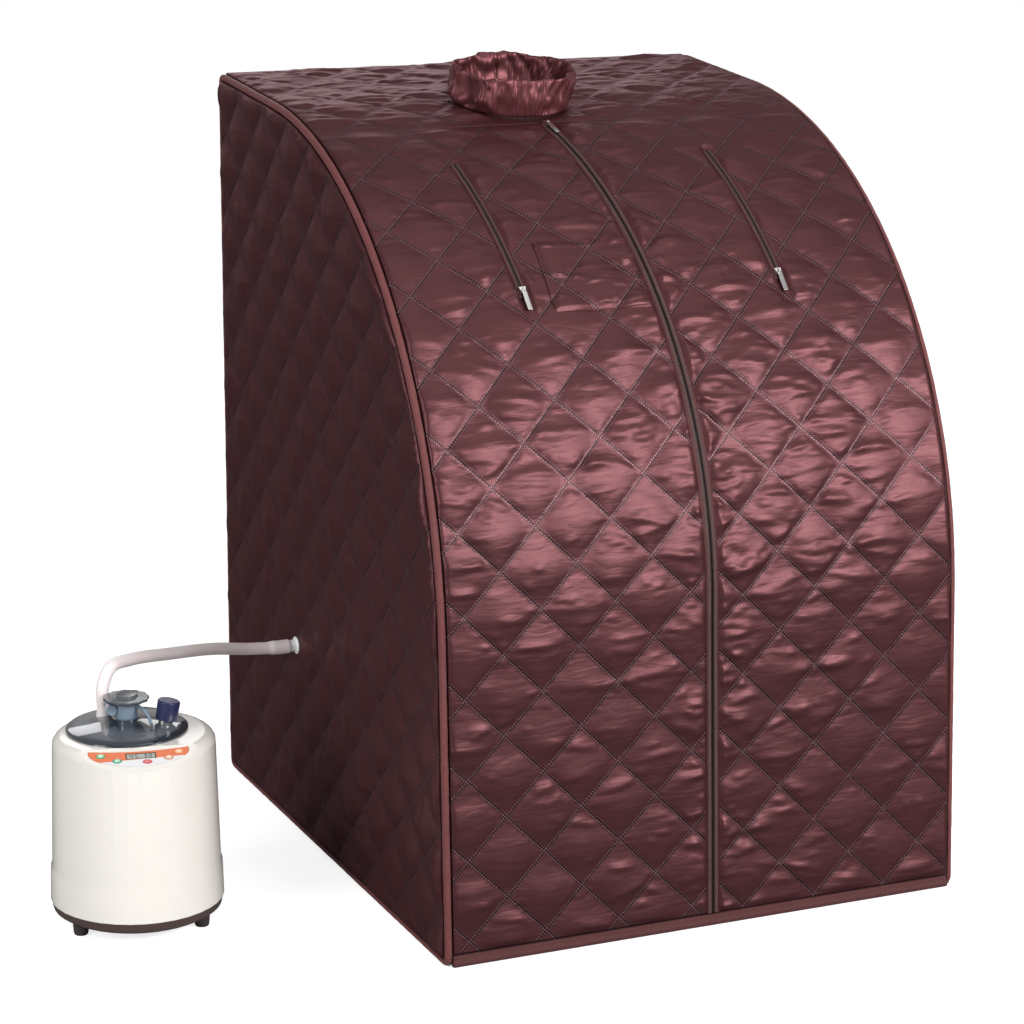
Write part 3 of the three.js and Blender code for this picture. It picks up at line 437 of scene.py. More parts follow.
# Each stitch line is a strong row of stitches with a fainter one beside it: (offset, strength).
STITCH_ROWS = ((0.0, 0.85), (ROW_OFFSET, 0.3))
PUFF = 4.6 * MM
DIAMOND_REACH = QUILT / math.sqrt(8)
SAG = 0.45
CELL = QUILT / 36
LEFT_PHASE = np.array([75.7, 30.2]) * MM
RIGHT_PHASE = np.array([97.4, 68.2]) * MM
SIDE_PHASE = np.array([17.3, 64.5]) * MM
REAR_PHASE = np.array([0.0, 0.0])


def line_distances(plane, phase):
    """Distance from each point to the nearest stitch line of each of the two diagonal families."""
    u, v = (plane - phase).T
    found = []
    for along in (u + v, u - v):
        offset = (along + QUILT / 2) % QUILT - QUILT / 2
        found.append(np.abs(offset) / math.sqrt(2))
    return found


def puff(plane, phase):
    """Height of the padding: pressed down along the stitch lines, domed between them and fuller low down."""
    height = np.full(len(plane), PUFF)
    for distance in line_distances(plane, phase):
        height *= np.sin(math.pi / 2 * np.maximum(distance - 0.6 * MM, 0) / DIAMOND_REACH) ** 0.72
    u, v = (plane - phase).T
    cell_u = np.floor((u + v) / QUILT) + np.floor((u - v) / QUILT)
    cell_v = np.floor((u + v) / QUILT) - np.floor((u - v) / QUILT)
    low_down = -(v - cell_v * QUILT / 2) / (QUILT / 2)
    fullness = 0.85 + 0.3 * value_noise(cell_u * 0.71, cell_v * 0.77, 3)
    return height * fullness * (1 + SAG * np.clip(low_down, -1, 1))


# Wrinkles: how many are tried, then the (least, most) half length, half width and height.
DOOR_FOLDS = (470, (0.020, 0.064), (0.0034, 0.0060), (0.0007, 0.0024))
DOOR_CREASES = (900, (0.008, 0.020), (0.0026, 0.0038), (0.0005, 0.0012))
ZIP_CREASES = (2600, (0.009, 0.020), (0.0026, 0.0036), (0.0006, 0.0016))
PANEL_FOLDS = ((0.022, 0.060), (0.0032, 0.0060), (0.0008, 0.0022))
PANEL_CREASES = ((0.008, 0.020), (0.0026, 0.0036), (0.0005, 0.0011))


def folds(plane, region, seed, chance, count, length, width, height, tilt=0.13):
    """Separate tapering wrinkles, mostly level, each with a soft upper side and a steep lower side.

    They lie in region, a (low, high) pair of corners, where chance(places) is how likely a wrinkle is."""
    random = np.random.default_rng(seed)
    centres = random.uniform(*region, (count, 2))
    kept = random.random(count) < chance(centres)
    lengths, widths, heights = (random.uniform(least, most, count) for least, most in (length, width, height))
    tilts, bows = random.normal(0, tilt, count), random.normal(0, 2.0, count)
    raised = np.zeros(len(plane))
    for k in np.nonzero(kept)[0]:
        near = np.abs(plane - centres[k]).max(axis=1) < lengths[k] + 3 * widths[k]
        x, y = (plane[near] - centres[k]).T
        cos, sin = math.cos(tilts[k]), math.sin(tilts[k])
        x, y = x * cos + y * sin, y * cos - x * sin
        y = y - bows[k] * x ** 2
        taper = np.clip(1 - (x / lengths[k]) ** 2, 0, 1) ** 1.5
        reach = widths[k] * np.where(y > 0, 1.7, 0.7)
        raised[near] += heights[k] * taper * np.exp(-(y / reach) ** 2)
    return raised


def wrinkles(plane, seed, strength):
    """Soft swellings with a few small creases, for a panel that hangs without much pull."""
    u, v = plane.T
    soft = value_noise(u / 0.055, v / 0.026, seed + 3) - 0.5
    drift = value_noise(u / 0.022, v / 0.012, seed + 4) - 0.5
    return strength * (2.0 * MM * soft + 0.9 * MM * drift)


def scattered(plane, seed, count):
    """Long and short wrinkles all over a panel."""
    region = plane.min(axis=0), plane.max(axis=0)

    def anywhere(places):
        return np.ones(len(places))

    long_ones = folds(plane, region, seed, anywhere, count, *PANEL_FOLDS)
    return long_ones + folds(plane, region, seed + 1, anywhere, 2 * count, *PANEL_CREASES)


def pinned(plane, phase):
    """How freely the satin can crease at each point: least on a stitch line."""
    return 0.25 + 0.75 * smooth_step(0, 9 * MM, np.minimum(*line_distances(plane, phase)))


def pinches(plane, phase, seed):
    """Small puckers that cross the stitch lines."""
    u, v = (plane - phase).T
    near = np.exp(-np.minimum(*line_distances(plane, phase)) / (7 * MM))
    return 0.9 * MM * near * (value_noise(u / 0.006, v / 0.006, seed) - 0.5)


def held_down(distance, flat, reach):
    """0 within `flat` of a seam, rising to 1 at `flat + reach`."""
    return smooth_step(flat, flat + reach, distance)


def segment_distance(plane, start, end):
    start, end = np.asarray(start), np.asarray(end)
    along = end - start
    share = np.clip(((plane - start) @ along) / (along @ along), 0, 1)
    return np.linalg.norm(plane - start - share[:, None] * along, axis=1)


CRUMPLE_X, CRUMPLE_S = (0.15, 0.13), (0.62, 0.26)
CRUMPLE_LEFT, CRUMPLE_RIGHT = 0.4, 0.85
SEAM_FADE = 26 * MM


def door_relief(plane, phase, arm, side, seed):
    """Relief of a door half: quilting and wrinkles, held down at the zips and the rim."""
    u, v = plane.T
    to_zip = np.abs(u - zip_x(v))
    to_edge = PANEL_EDGE - np.abs(u)
    arm_line = arm_x(arm)
    top, bottom = along_shell(ARM_FROM), along_shell(ARM_TO) - PULL_LENGTH
    to_arm = segment_distance(plane, (arm_line(top), top), (arm_line(bottom), bottom))
    zip_pull = np.exp(-to_zip / (45 * MM))
    arm_pull = np.exp(-to_arm / (30 * MM))

    def chance(places):
        across = (places[:, 0] - side * CRUMPLE_X[0]) / CRUMPLE_X[1]
        up = (places[:, 1] - CRUMPLE_S[0]) / CRUMPLE_S[1]
        crumpled = (CRUMPLE_RIGHT if side > 0 else CRUMPLE_LEFT) * np.exp(-(across ** 2 + up ** 2))
        near_zip = np.exp(-np.abs(places[:, 0] - zip_x(places[:, 1])) / (60 * MM))
        return np.clip(0.16 + crumpled + 0.75 * near_zip, 0, 1)

    def beside_zip(places):
        return np.exp(-(np.abs(places[:, 0] - zip_x(places[:, 1])) - 20 * MM) ** 2 / (14 * MM) ** 2)

    height = puff(plane, phase) + wrinkles(plane, seed, 0.7 + zip_pull + 0.6 * arm_pull)
    region = (min(0, side * PANEL_EDGE), DOOR_BOTTOM), (max(0, side * PANEL_EDGE), DOOR_TOP)
    crumple = folds(plane, region, seed, chance, *DOOR_FOLDS)
    crumple += folds(plane, region, seed + 1, chance, *DOOR_CREASES)
    crumple += folds(plane, region, seed + 2, beside_zip, *ZIP_CREASES, tilt=0.1)
    height += crumple * pinned(plane, phase) + pinches(plane, phase, seed + 9)
    hold = held_down(to_zip, 7.5 * MM, 7 * MM) * held_down(to_arm, 5 * MM, 7 * MM)
    hold = hold * held_down(to_edge, -2 * MM, 7 * MM)
    hold = hold * held_down(DOOR_TOP - v, -1 * MM, SEAM_FADE) * held_down(v - DOOR_BOTTOM, 0, 8 * MM)
    return np.maximum(height, LEAST_LIFT) * hold, hold


def satin_material(name, light, dark, stitched=True):
    """Quilted satin: a fine level weave, slub streaks that also carry a painted sheen in the colour, small
    creases and stitches on each line.

    The UV map is in metres, so the stretches are (across, up) repeats in a metre."""
    s = Shader(name)
    place = s.coordinates("UV")
    u, v, _ = s.parts(place)
    weave = s.noise(s.stretched(place, (160, 2600, 1)), 1.0, 2)
    slub_and_sheen = s.noise(s.stretched(place, (10, 260, 1)), 1.0, 3)
    cloud = s.noise(place, 9, 3)
    base = s.mix(cloud, dark, light)
    # Painted sheen: the slub streaks make the colour paler as well as changing the roughness.
    base = s.mix(s.times(slub_and_sheen, 0.4), base, shade(light, 1.5))
    small = s.noise(s.stretched(place, (32, 105, 1)), 1.0, 4)
    fold = s.noise(s.stretched(place, (16, 62, 1)), 1.0, 2)
    ridge = s.math("ABSOLUTE", s.spread(fold, 2.0, -1.0))
    normal = s.bump(small, 0.9 * MM, 0.3)
    normal = s.bump(s.ramp(ridge, 0.0, 0.25), 0.9 * MM, 0.2, normal)
    normal = s.bump(weave, 0.1 * MM, 0.35, normal)
    if stitched:
        thread, hole_shade, groove_shade = stitch_masks(s, u, v)
        # Painted shade: darker colour in the grooves along the stitch lines and near black in the needle holes
        # between stitches.
        base = s.mix(s.times(groove_shade, 0.75), base, shade(dark, 0.22))
        base = s.mix(hole_shade, base, shade(dark, 0.1))
        base = s.mix(thread, base, THREAD)
        normal = s.bump(thread, 0.5 * MM, 0.8, normal)
    s.set(Base_Color=base, Roughness=s.spread(slub_and_sheen, 0.14, 0.39), Normal=normal, Metallic=0.6)
    s.set(Specular_IOR_Level=0.85, Specular_Tint=(1.0, 0.66, 0.70, 1))
    return s.material


def stitch_masks(s, u, v):
    """Masks from the diagonal stitch lines: thread, and painted shade for the needle holes between stitches and
    for the groove.
    """
    threads, hole_shades, groove_shades = [], [], []
    for across, along in (("ADD", "SUBTRACT"), ("SUBTRACT", "ADD")):
        wrapped = s.math("WRAP", s.math(across, u, v), QUILT / 2, -QUILT / 2)
        offset = s.math("DIVIDE", wrapped, math.sqrt(2))
        travel = s.math("DIVIDE", s.math(along, u, v), math.sqrt(2))
        on_stitch = s.math("LESS_THAN", s.math("FRACT", s.math("DIVIDE", travel, STITCH)), STITCH_SHARE)
        for row, strength in STITCH_ROWS:
            on_row = s.times(s.ramp(s.away(offset, row), 0.8 * MM, 0.4 * MM), strength)
            threads.append(s.times(on_row, on_stitch))
            hole_shades.append(s.times(on_row, s.math("SUBTRACT", 1.0, on_stitch)))
        groove_shades.append(s.ramp(s.away(offset, 0.4 * ROW_OFFSET), 3.4 * MM, 0.8 * MM))
    return [largest(s, masks) for masks in (threads, hole_shades, groove_shades)]


def largest(s, masks):
    total = masks[0]
    for mask in masks[1:]:
        total = s.math("MAXIMUM", total, mask)
    return total


THREAD = (0.23, 0.125, 0.14)
SATIN_LIGHT = (0.074, 0.0210, 0.0235)
SATIN_DARK = (0.047, 0.0132, 0.0152)
satin = satin_material("quilted_satin", SATIN_LIGHT, SATIN_DARK)
plain_satin = satin_material("plain_satin", SATIN_LIGHT, SATIN_DARK, stitched=False)


def lining_material():
    """Coated silver lining: crinkled, faintly metallic, with the quilting's stitches showing through and
    painted shade in their grooves.
    """
    s = Shader("silver_lining")
    place = s.coordinates("UV")
    u, v, _ = s.parts(place)
    thread, _, groove_shade = stitch_masks(s, u, v)
    crinkle = s.noise(place, 55, 5, 0.65)
    base = s.mix(crinkle, (0.34, 0.35, 0.37), (0.52, 0.53, 0.55))
    # Painted shade: darker along the stitch grooves.
    base = s.mix(s.times(groove_shade, 0.4), base, (0.16, 0.16, 0.17))
    s.set(Base_Color=s.mix(thread, base, (0.6, 0.6, 0.62)), Metallic=0.5)
    s.set(Roughness=s.spread(crinkle, 0.25, 0.3), Normal=s.bump(crinkle, 1.2 * MM, 0.7))
    return s.material


lining = lining_material()


def woven_material(name, colour, sheen, rib=420, roughness=0.6):
    """Woven tape or binding: ribs across its length, from object coordinates."""
    s = Shader(name)
    place = s.coordinates()
    ribs = s.node("ShaderNodeTexWave", {"Vector": place, "Scale": rib, "Distortion": 2.0, "Detail": 2.0})
    fleck = s.noise(place, 260, 3)
    base = s.mix(fleck, shade(colour, 0.7), shade(colour, 1.35))
    s.set(Base_Color=base, Roughness=s.spread(fleck, 0.2, roughness - 0.1))
    s.set(Normal=s.bump(ribs.outputs["Fac"], 0.25 * MM, 0.5), Sheen_Weight=sheen, Specular_IOR_Level=0.2)
    return s.material


binding = woven_material("binding", (0.135, 0.040, 0.040), sheen=0.05)
# Painted shade: the hem's binding is the piping's binding painted darker.
hem_binding_painted_shade = woven_material("hem_binding_painted_shade", (0.072, 0.021, 0.021), sheen=0.05)
zip_tape = woven_material("zip_tape", (0.070, 0.036, 0.035), roughness=0.65, sheen=0.0)
zip_coil = woven_material("zip_coil", (0.017, 0.009, 0.009), rib=900, roughness=0.45, sheen=0.0)
elastic = woven_material("elastic", (0.03, 0.014, 0.016), rib=600, roughness=0.8, sheen=0.05)


# ---- Cloth simulation ----
CLOTH_FRAMES = 12
CLOTH_CAP = 4.2 * MM
CLOTH_RULES = {
    "quality": 4,
    "mass": 0.2,
    "tension_stiffness": 25,
    "compression_stiffness": 12,
    "shear_stiffness": 4,
    "bending_stiffness": 0.06,
    "vertex_group_mass": "held",
    "pin_stiffness": 1,
    "use_pressure": True,
    "uniform_pressure_force": 1.6,
}


def inflate(start, flat, faces, free, extra):
    """Blows up a sewn sheet with Blender's Cloth and returns its new points.

    flat is its uncrumpled shape, made longer by the share extra so that it crumples in the space it hangs
    in. Where free is 0 the sheet is held."""
    made = mesh_object("cloth_run", start, faces, [])
    made.shape_key_add(name="Basis")
    rest = made.shape_key_add(name="uncrumpled")
    rest.data.foreach_set("co", (flat * [1, 1 + extra, 1]).astype(np.float32).ravel())
    held = made.vertex_groups.new(name="held")
    for level in np.linspace(0, 1, 6):
        near = np.nonzero(np.abs((1 - free) - level) <= 0.1)[0]
        held.add(near.tolist(), float(level), "REPLACE")
    cloth = made.modifiers.new("cloth", "CLOTH")
    for key, value in CLOTH_RULES.items():
        setattr(cloth.settings, key, value)
    cloth.settings.rest_shape_key = rest
    cloth.settings.effector_weights.gravity = 0
    cloth.collision_settings.use_collision = False
    cloth.collision_settings.use_self_collision = False
    cloth.point_cache.frame_start, cloth.point_cache.frame_end = 1, CLOTH_FRAMES
    scene = bpy.context.scene
    for frame_number in range(1, CLOTH_FRAMES + 1):
        scene.frame_set(frame_number)
    evaluated = made.evaluated_get(bpy.context.evaluated_depsgraph_get())
    after = np.zeros(len(start) * 3, np.float32)
    evaluated.data.vertices.foreach_get("co", after)
    bpy.data.objects.remove(made)
    scene.frame_set(1)
    moved = after.reshape(-1, 3).astype(float) - start
    length = np.linalg.norm(moved, axis=1, keepdims=True)
    return start + moved * np.minimum(1, CLOTH_CAP / np.maximum(length, 1e-9))


def padded(surface, plane, faces, relief, hold, phase, extra):
    """The outer face of a quilted panel: its drawn relief, then blown up between the stitch lines."""
    start = surface(plane[:, 0], plane[:, 1], relief)
    lines = np.minimum(*line_distances(plane, phase))
    free = smooth_step(1.0 * MM, 5 * MM, lines) * np.clip(hold, 0, 1)
    free[np.unique(rim_edges(faces, len(plane)))] = 0
    flat = np.concatenate([plane, relief[:, None]], axis=1)
    return inflate(start, flat, faces, free, extra)


# ---- Cabin panels ----
DOOR_EXTRA, ROOF_EXTRA = 0.08, 0.02
SIDE_PUFF, ROOF_PUFF = 1.3, 0.4
LEAST_LIFT = 0.2 * MM
SLIT_HALF, SLIT_SHORT = 2.2 * MM, 6 * MM


def quilted(name, surface, plane, faces, outer, phase, *nodes, body="sauna"):
    """A quilted panel with its silver lining, in place of the CAD nodes."""
    made = fabric_solid(name, surface, plane, faces, outer, -FABRIC, phase, [satin, lining])
    stand_in(made, "satin", *nodes, body=body)
    return made


def half_name(side):
    return "left" if side < 0 else "right"


def strip(s, near, far):
    """Outline between two lines that run up the shell."""
    return np.concatenate([np.stack([near, s], 1), np.stack([far, s], 1)[::-1]])


def door(side, phase, arm, seed):
    """One door half from the roof seam to the hem: it stands for the arch panel and the flap."""
    s = np.linspace(DOOR_BOTTOM, DOOR_TOP, 240)
    inner = zip_x(s) + side * ZIP_SPLIT
    outer = np.full(len(s), side * (PANEL_EDGE - 0.5 * MM))
    slit_s = np.linspace(along_shell(ARM_TO) + SLIT_SHORT, along_shell(ARM_FROM) - SLIT_SHORT, 30)
    slit = arm_x(arm)(slit_s)
    outlines = [strip(s, inner, outer), strip(slit_s, slit - SLIT_HALF, slit + SLIT_HALF)]
    plane, faces = trimmed_grid(outlines, CELL, phase)
    relief, hold = door_relief(plane, phase, arm, side, seed)
    outer = padded(shell, plane, faces, relief, hold * clear_of_pocket(plane), phase, DOOR_EXTRA)
    half = half_name(side)
    nodes = [f"{half}_arch_panel", f"{half}_front_flap"]
    bend_door(quilted(f"{half}_door", shell, plane, faces, outer, phase, *nodes, body=None))


def clear_of_pocket(plane):
    """0 under the pocket, where the padding is pressed flat, and 1 away from it."""
    low = np.array([POCKET["left"], along_shell(POCKET["bottom"])])
    high = np.array([POCKET["right"], along_shell(POCKET["top"])])
    beyond = np.maximum(np.maximum(low - plane, plane - high), 0)
    return smooth_step(2 * MM, 12 * MM, np.linalg.norm(beyond, axis=1))


def bend_door(piece):
    """Bakes the piece's placement into its points."""
    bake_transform(piece)


def roof():
    """The top panel, from the seam above the doors to the rear, with the neck hole."""
    start, end = DOOR_TOP + SEAM_GAP, SHELL_LENGTH - SLEEVE
    middle = np.array([NECK_X, along_shell(NECK_ANGLE)])
    outlines = [rectangle(-PANEL_EDGE, start, PANEL_EDGE, end), circle(48, NECK_HOLE, middle)]
    plane, faces = trimmed_grid(outlines, CELL, LEFT_PHASE)
    u, v = plane.T
    to_neck = np.linalg.norm(plane - middle, axis=1) - COLLAR_BASE
    tug = np.exp(-np.maximum(to_neck, 0) / (60 * MM))
    height = ROOF_PUFF * puff(plane, LEFT_PHASE) + wrinkles(plane, 71, 0.5 + tug)
    height += pinches(plane, LEFT_PHASE, 72)
    height += 0.8 * scattered(plane, 73, 330) * pinned(plane, LEFT_PHASE)
    hold = held_down(to_neck, 1 * MM, 12 * MM) * held_down(PANEL_EDGE - np.abs(u), -2 * MM, 8 * MM)
    hold = hold * held_down(v - start, -1 * MM, SEAM_FADE) * held_down(end - v, 0, 8 * MM)
    relief = np.maximum(height, LEAST_LIFT) * hold
    outer = padded(shell, plane, faces, relief, hold, LEFT_PHASE, ROOF_EXTRA)
    quilted("roof", shell, plane, faces, outer, LEFT_PHASE, "top_panel")


def side_outline(inset):
    """The side profile as (y, z) points, moved in by `inset` on every side."""
    lean = inset * math.tan(FRONT_LEAN) + inset / math.cos(FRONT_LEAN)
    rise = inset * math.tan(TOP_RISE) + inset / math.cos(TOP_RISE)
    arc = shell(0, np.linspace(FRONT_LENGTH, FRONT_LENGTH + ARC_LENGTH, 60), -inset)[:, 1:]
    foot = [-HALF_DEPTH + lean, inset]
    back = HALF_DEPTH - inset
    return np.concatenate([[foot], arc, [[back, HEIGHT - rise], [back, inset]]])


def side_panel(name, direction, seed, port=None):
    """A side panel, with a round hole where port is given."""
    outlines = [side_outline(2 * SLEEVE + GAP)]
    if port is not None:
        outlines.append(circle(20, PORT_HOLE, port))
    plane, faces = trimmed_grid(outlines, QUILT / 20, SIDE_PHASE)
    to_rim = rim_distance(plane, outlines[0])
    hanging = plane[:, ::-1]
    height = SIDE_PUFF * puff(plane, SIDE_PHASE) + wrinkles(hanging, seed, 0.7)
    height += pinches(plane, SIDE_PHASE, seed + 4)
    height += (scattered(hanging, seed + 5, 130) + scattered(plane, seed + 7, 60)) * pinned(plane, SIDE_PHASE)
    hold = held_down(to_rim, -2 * MM, 9 * MM)
    if port is not None:
        hold = hold * held_down(np.linalg.norm(plane - port, axis=1), 14 * MM, 16 * MM)
    relief = np.maximum(height, LEAST_LIFT) * hold
    quilted(name + "_quilted", side_wall(direction), plane, faces, relief, SIDE_PHASE, name)


def rear_panel():
    outline = rectangle(-PANEL_EDGE, rear_low.z, PANEL_EDGE, rear_high.z)
    plane, faces = trimmed_grid([outline], QUILT / 18, REAR_PHASE)
    to_rim = rim_distance(plane, outline)
    height = puff(plane, REAR_PHASE) + wrinkles(plane, 91, 0.8) + pinches(plane, REAR_PHASE, 92)
    height += scattered(plane, 93, 150) * pinned(plane, REAR_PHASE)
    relief = np.maximum(height, LEAST_LIFT) * held_down(to_rim, -2 * MM, 9 * MM)
    quilted("rear_quilted", rear_wall, plane, faces, relief, REAR_PHASE, "rear_panel")


port_low, port_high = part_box("port_nut")
PORT_Y, PORT_Z = (port_low.y + port_high.y) / 2, (port_low.z + port_high.z) / 2
PORT_HOLE = 8.3 * MM
LEFT_SEED, RIGHT_SEED = 11, 31
door(-1, LEFT_PHASE, LEFT_ARM, LEFT_SEED)
door(1, RIGHT_PHASE, RIGHT_ARM, RIGHT_SEED)
roof()
side_panel("left_side_panel", -1, 51, (PORT_Y, PORT_Z))
side_panel("right_side_panel", 1, 61)
rear_panel()


# ---- Piping and sill ----
def resampled(points, step):
    """Evenly spaced points along a closed path."""
    path = np.concatenate([points, points[:1]])
    lengths = np.concatenate([[0], np.cumsum(np.linalg.norm(np.diff(path, axis=0), axis=1))])
    wanted = np.linspace(0, lengths[-1], int(lengths[-1] / step), endpoint=False)
    return np.stack([np.interp(wanted, lengths, path[:, k]) for k in range(path.shape[1])], 1)


def rounded(outline, times):
    """Softens an evenly spaced loop's corners by repeated averaging."""
    for _ in range(times):
        outline = 0.25 * np.roll(outline, 1, 0) + 0.5 * outline + 0.25 * np.roll(outline, -1, 0)
    return outline


# The slot in the sleeve opens inwards, towards the panels, and is this wide on each side of its middle.
SLOT_ANGLE, SLOT_HALF = math.radians(45), math.radians(8)
SLEEVE_BORE = 2.6 * MM
PIPING_STEP, CORNER_ROUNDS = 4 * MM, 6
PIPING_RIPPLE, HEM_RIPPLE = 0.35 * MM, 0.3 * MM


def piping(side):
    """A cord sewn into a strip of fabric: a hollow sleeve with a slot and small puckers."""
    path = rounded(resampled(side_outline(SLEEVE), PIPING_STEP), CORNER_ROUNDS)
    tangent = np.roll(path, -1, 0) - np.roll(path, 1, 0)
    tangent /= np.linalg.norm(tangent, axis=1)[:, None]
    normal = np.stack([-tangent[:, 1], tangent[:, 0]], 1)
    around = np.linspace(SLOT_HALF, 2 * math.pi - SLOT_HALF, 17) - side * SLOT_ANGLE
    ripple = PIPING_RIPPLE * (value_noise(np.arange(len(path)) / 2.2, np.zeros(len(path)), 5) - 0.5)
    rings = []
    for place, out, swell in zip(path, normal, ripple):
        section = [((SLEEVE + swell) * math.cos(a), (SLEEVE + swell) * math.sin(a)) for a in around]
        section += [(SLEEVE_BORE * math.cos(a), SLEEVE_BORE * math.sin(a)) for a in around[::-1]]
        ring = [(side * (HALF_WIDTH - SLEEVE) + x, *(place + inward * out)) for inward, x in section]
        rings.append(ring)
    made = skinned(half_name(side) + "_piping_sleeve", rings, [binding], loop=True)
    stand_in(made, "piping", half_name(side) + "_piping")


# The folded hem's section: height above the floor and lift off the front, in mm.
SILL_PROFILE = [
    (1, -6), (1, 0.5), (2.5, 2.6), (5, 3.4), (7.5, 2.6), (9, 1.2), (12, 1.0), (14.6, 0.4), (15, -1), (15, -6),
]


def sill():
    """The folded binding along the front hem."""
    rings = []
    for x in np.linspace(-PANEL_EDGE, PANEL_EDGE, 170):
        ripple = HEM_RIPPLE * (value_noise(np.array([x / (8 * MM)]), np.array([0.0]), 8)[0] - 0.5)
        rings.append([shell(x, z * MM, lift * MM + ripple * (lift > 0))[0] for z, lift in SILL_PROFILE])
    made = skinned("front_sill", rings, [hem_binding_painted_shade])
    stand_in(made, "piping", "front_sill_binding")


piping(-1)
piping(1)
sill()


# ---- Zips ----
ZIP_MATERIALS = [zip_coil, zip_tape, plain_satin]
COIL, TAPE, LIP = range(3)
ZIP_STEP = 1.25 * MM
# Rows of a zip's section: distance from its middle, lift, how far a tooth stands out (mm), and material.
MAIN_ZIP = [
    (0.25, 0.3, 0, TAPE), (9, 0.3, 0, LIP), (9.2, 0.7, 0, LIP), (8.6, 1.15, 0, LIP), (7.0, 1.1, 0, LIP),
    (6.4, 1.5, 0, TAPE), (5.4, 1.95, 0, TAPE), (3.6, 2.0, 0, TAPE), (2.6, 1.6, 0, TAPE),
    (2.2, 1.2, 0, COIL), (1.9, 1.5, 0.25, COIL), (1.0, 1.6, 0.5, COIL), (0.3, 1.1, 0.3, COIL),
]
ARM_ZIP = [
    (0.0, 0.3, 0, TAPE), (6.6, 0.3, 0, LIP), (7.0, 0.7, 0, LIP), (6.2, 1.1, 0, LIP), (4.9, 1.2, 0, LIP),
    (4.4, 1.8, 0, TAPE), (3.4, 2.0, 0, TAPE), (2.3, 1.7, 0, TAPE), (1.9, 1.2, 0, COIL),
    (1.2, 1.6, 0.4, COIL), (0.0, 1.3, 0.3, COIL),
]


def zip_strip(name, line, bottom, top, side, section):
    """A zip's tape, lip and coil, swept along the shell."""
    s = np.arange(bottom, top, ZIP_STEP)[:, None]
    across, lift, tooth, slots = np.array(section).T
    beat = np.arange(len(s))[:, None] % 2
    rings = shell(line(s) + side * across * MM, s, (lift + tooth * beat) * MM)
    return skinned(name, rings, ZIP_MATERIALS, slots=slots.astype(int).tolist())


def zips():
    """The main zip's two halves and the two whole arm zips."""
    for side in (-1, 1):
        half = half_name(side)
        made = zip_strip(f"{half}_main_zip", zip_x, DOOR_BOTTOM, along_shell(ZIP_START), side, MAIN_ZIP)
        stand_in(made, "zip_tape", f"{half}_zip_tape", f"{half}_flap_zip_tape", body=None)
        bend_door(made)
    whole_section = ARM_ZIP + [(-across, *rest) for across, *rest in ARM_ZIP[-2:0:-1]]
    bottom, top = along_shell(ARM_TO), along_shell(ARM_FROM)
    for arm, half in ((LEFT_ARM, "left"), (RIGHT_ARM, "right")):
        made = zip_strip(f"{half}_arm_zip", arm_x(arm), bottom, top, 1, whole_section)
        stand_in(made, "zip_tape", f"{half}_arm_zip_tape")


zips()


# ---- Collar ----
# The collar's wall, row by row: bulge from the base circle (mm), share of the height, looseness.
COLLAR_WALL = [
    (0.0, 0.00, 0.0), (1.6, 0.04, 0.4), (3.0, 0.12, 0.7), (4.0, 0.24, 0.9), (4.6, 0.37, 1.0),
    (4.8, 0.50, 1.0), (4.6, 0.63, 1.0), (4.0, 0.76, 1.0), (3.2, 0.87, 0.9), (2.4, 0.96, 0.8),
    (1.4, 1.01, 0.8), (0.4, 1.02, 0.8), (-1.2, 1.00, 0.8), (-2.2, 0.93, 0.8), (-2.6, 0.82, 0.9),
    (-2.8, 0.68, 0.9), (-3.2, 0.54, 0.9), (-4.0, 0.38, 0.8), (-5.4, 0.22, 0.6), (-7.6, 0.10, 0.3),
    (-9.5, 0.00, 0.0),
]
OUTER_ROWS = 12
# The elastic lies between the collar's two walls and follows their folds.
BAND_WALL = [(0.3, 0.72, 0.9), (0.3, 0.92, 0.9), (-0.1, 0.92, 0.9), (-0.1, 0.72, 0.9)]
MEAN_FOLD, COLLAR_RIM = 4.0, 9.0
SHIRRED = (math.radians(-113), math.radians(-79))
SEAMS = [(math.radians(-77), math.radians(-78)), (math.radians(-160), math.radians(-131))]


def collar_folds(turn, share, outside):
    """How far the loose satin stands off its smooth shape: folds, elastic shirring and two seams.

    Every term is a height in mm times noise whose places are divided by a wavelength in mm."""
    along = turn * COLLAR_BASE / MM
    up = share * COLLAR_HEIGHT / MM
    wide = 12.0 * (value_noise(along / 30, up / 60, 101) - 0.5)
    diagonal = 6.2 * creases((along + 0.9 * up) / 25, (up - 0.3 * along) / 30, 102)
    crossing = 5.0 * creases((along - 0.7 * up) / 19, up / 34, 103)
    fine = 1.1 * (value_noise(along / 5.5, up / 12, 104) - 0.5)
    start, end = SHIRRED
    margin = math.radians(3)
    shirr = smooth_step(start - margin, start + margin, turn)
    shirr = shirr * (1 - smooth_step(end - margin, end, turn))
    ruched = 2.6 * creases(along / 3.6, up / 9, 105) + 1.2 * (value_noise(along / 2.4, up / 4, 106) - 0.5)
    gathers = 2.0 * creases(along / 8, up / 60, 107) * (1 - outside)
    smooth_side = 1 - 0.45 * smooth_step(SEAMS[1][1], SEAMS[1][1] + margin, turn) * (turn < start)
    height = (wide + diagonal + crossing + fine) * smooth_side * (1 - 0.75 * shirr)
    height = height + ruched * shirr * outside + gathers
    for low, high in SEAMS:
        away = (turn - (low + (high - low) * share)) * COLLAR_BASE / MM
        ridge, dip = 1.8 * np.exp(-(away / 1.1) ** 2), np.exp(-(away - 2.2) ** 2)
        height = height + outside * (ridge - dip)
    return height


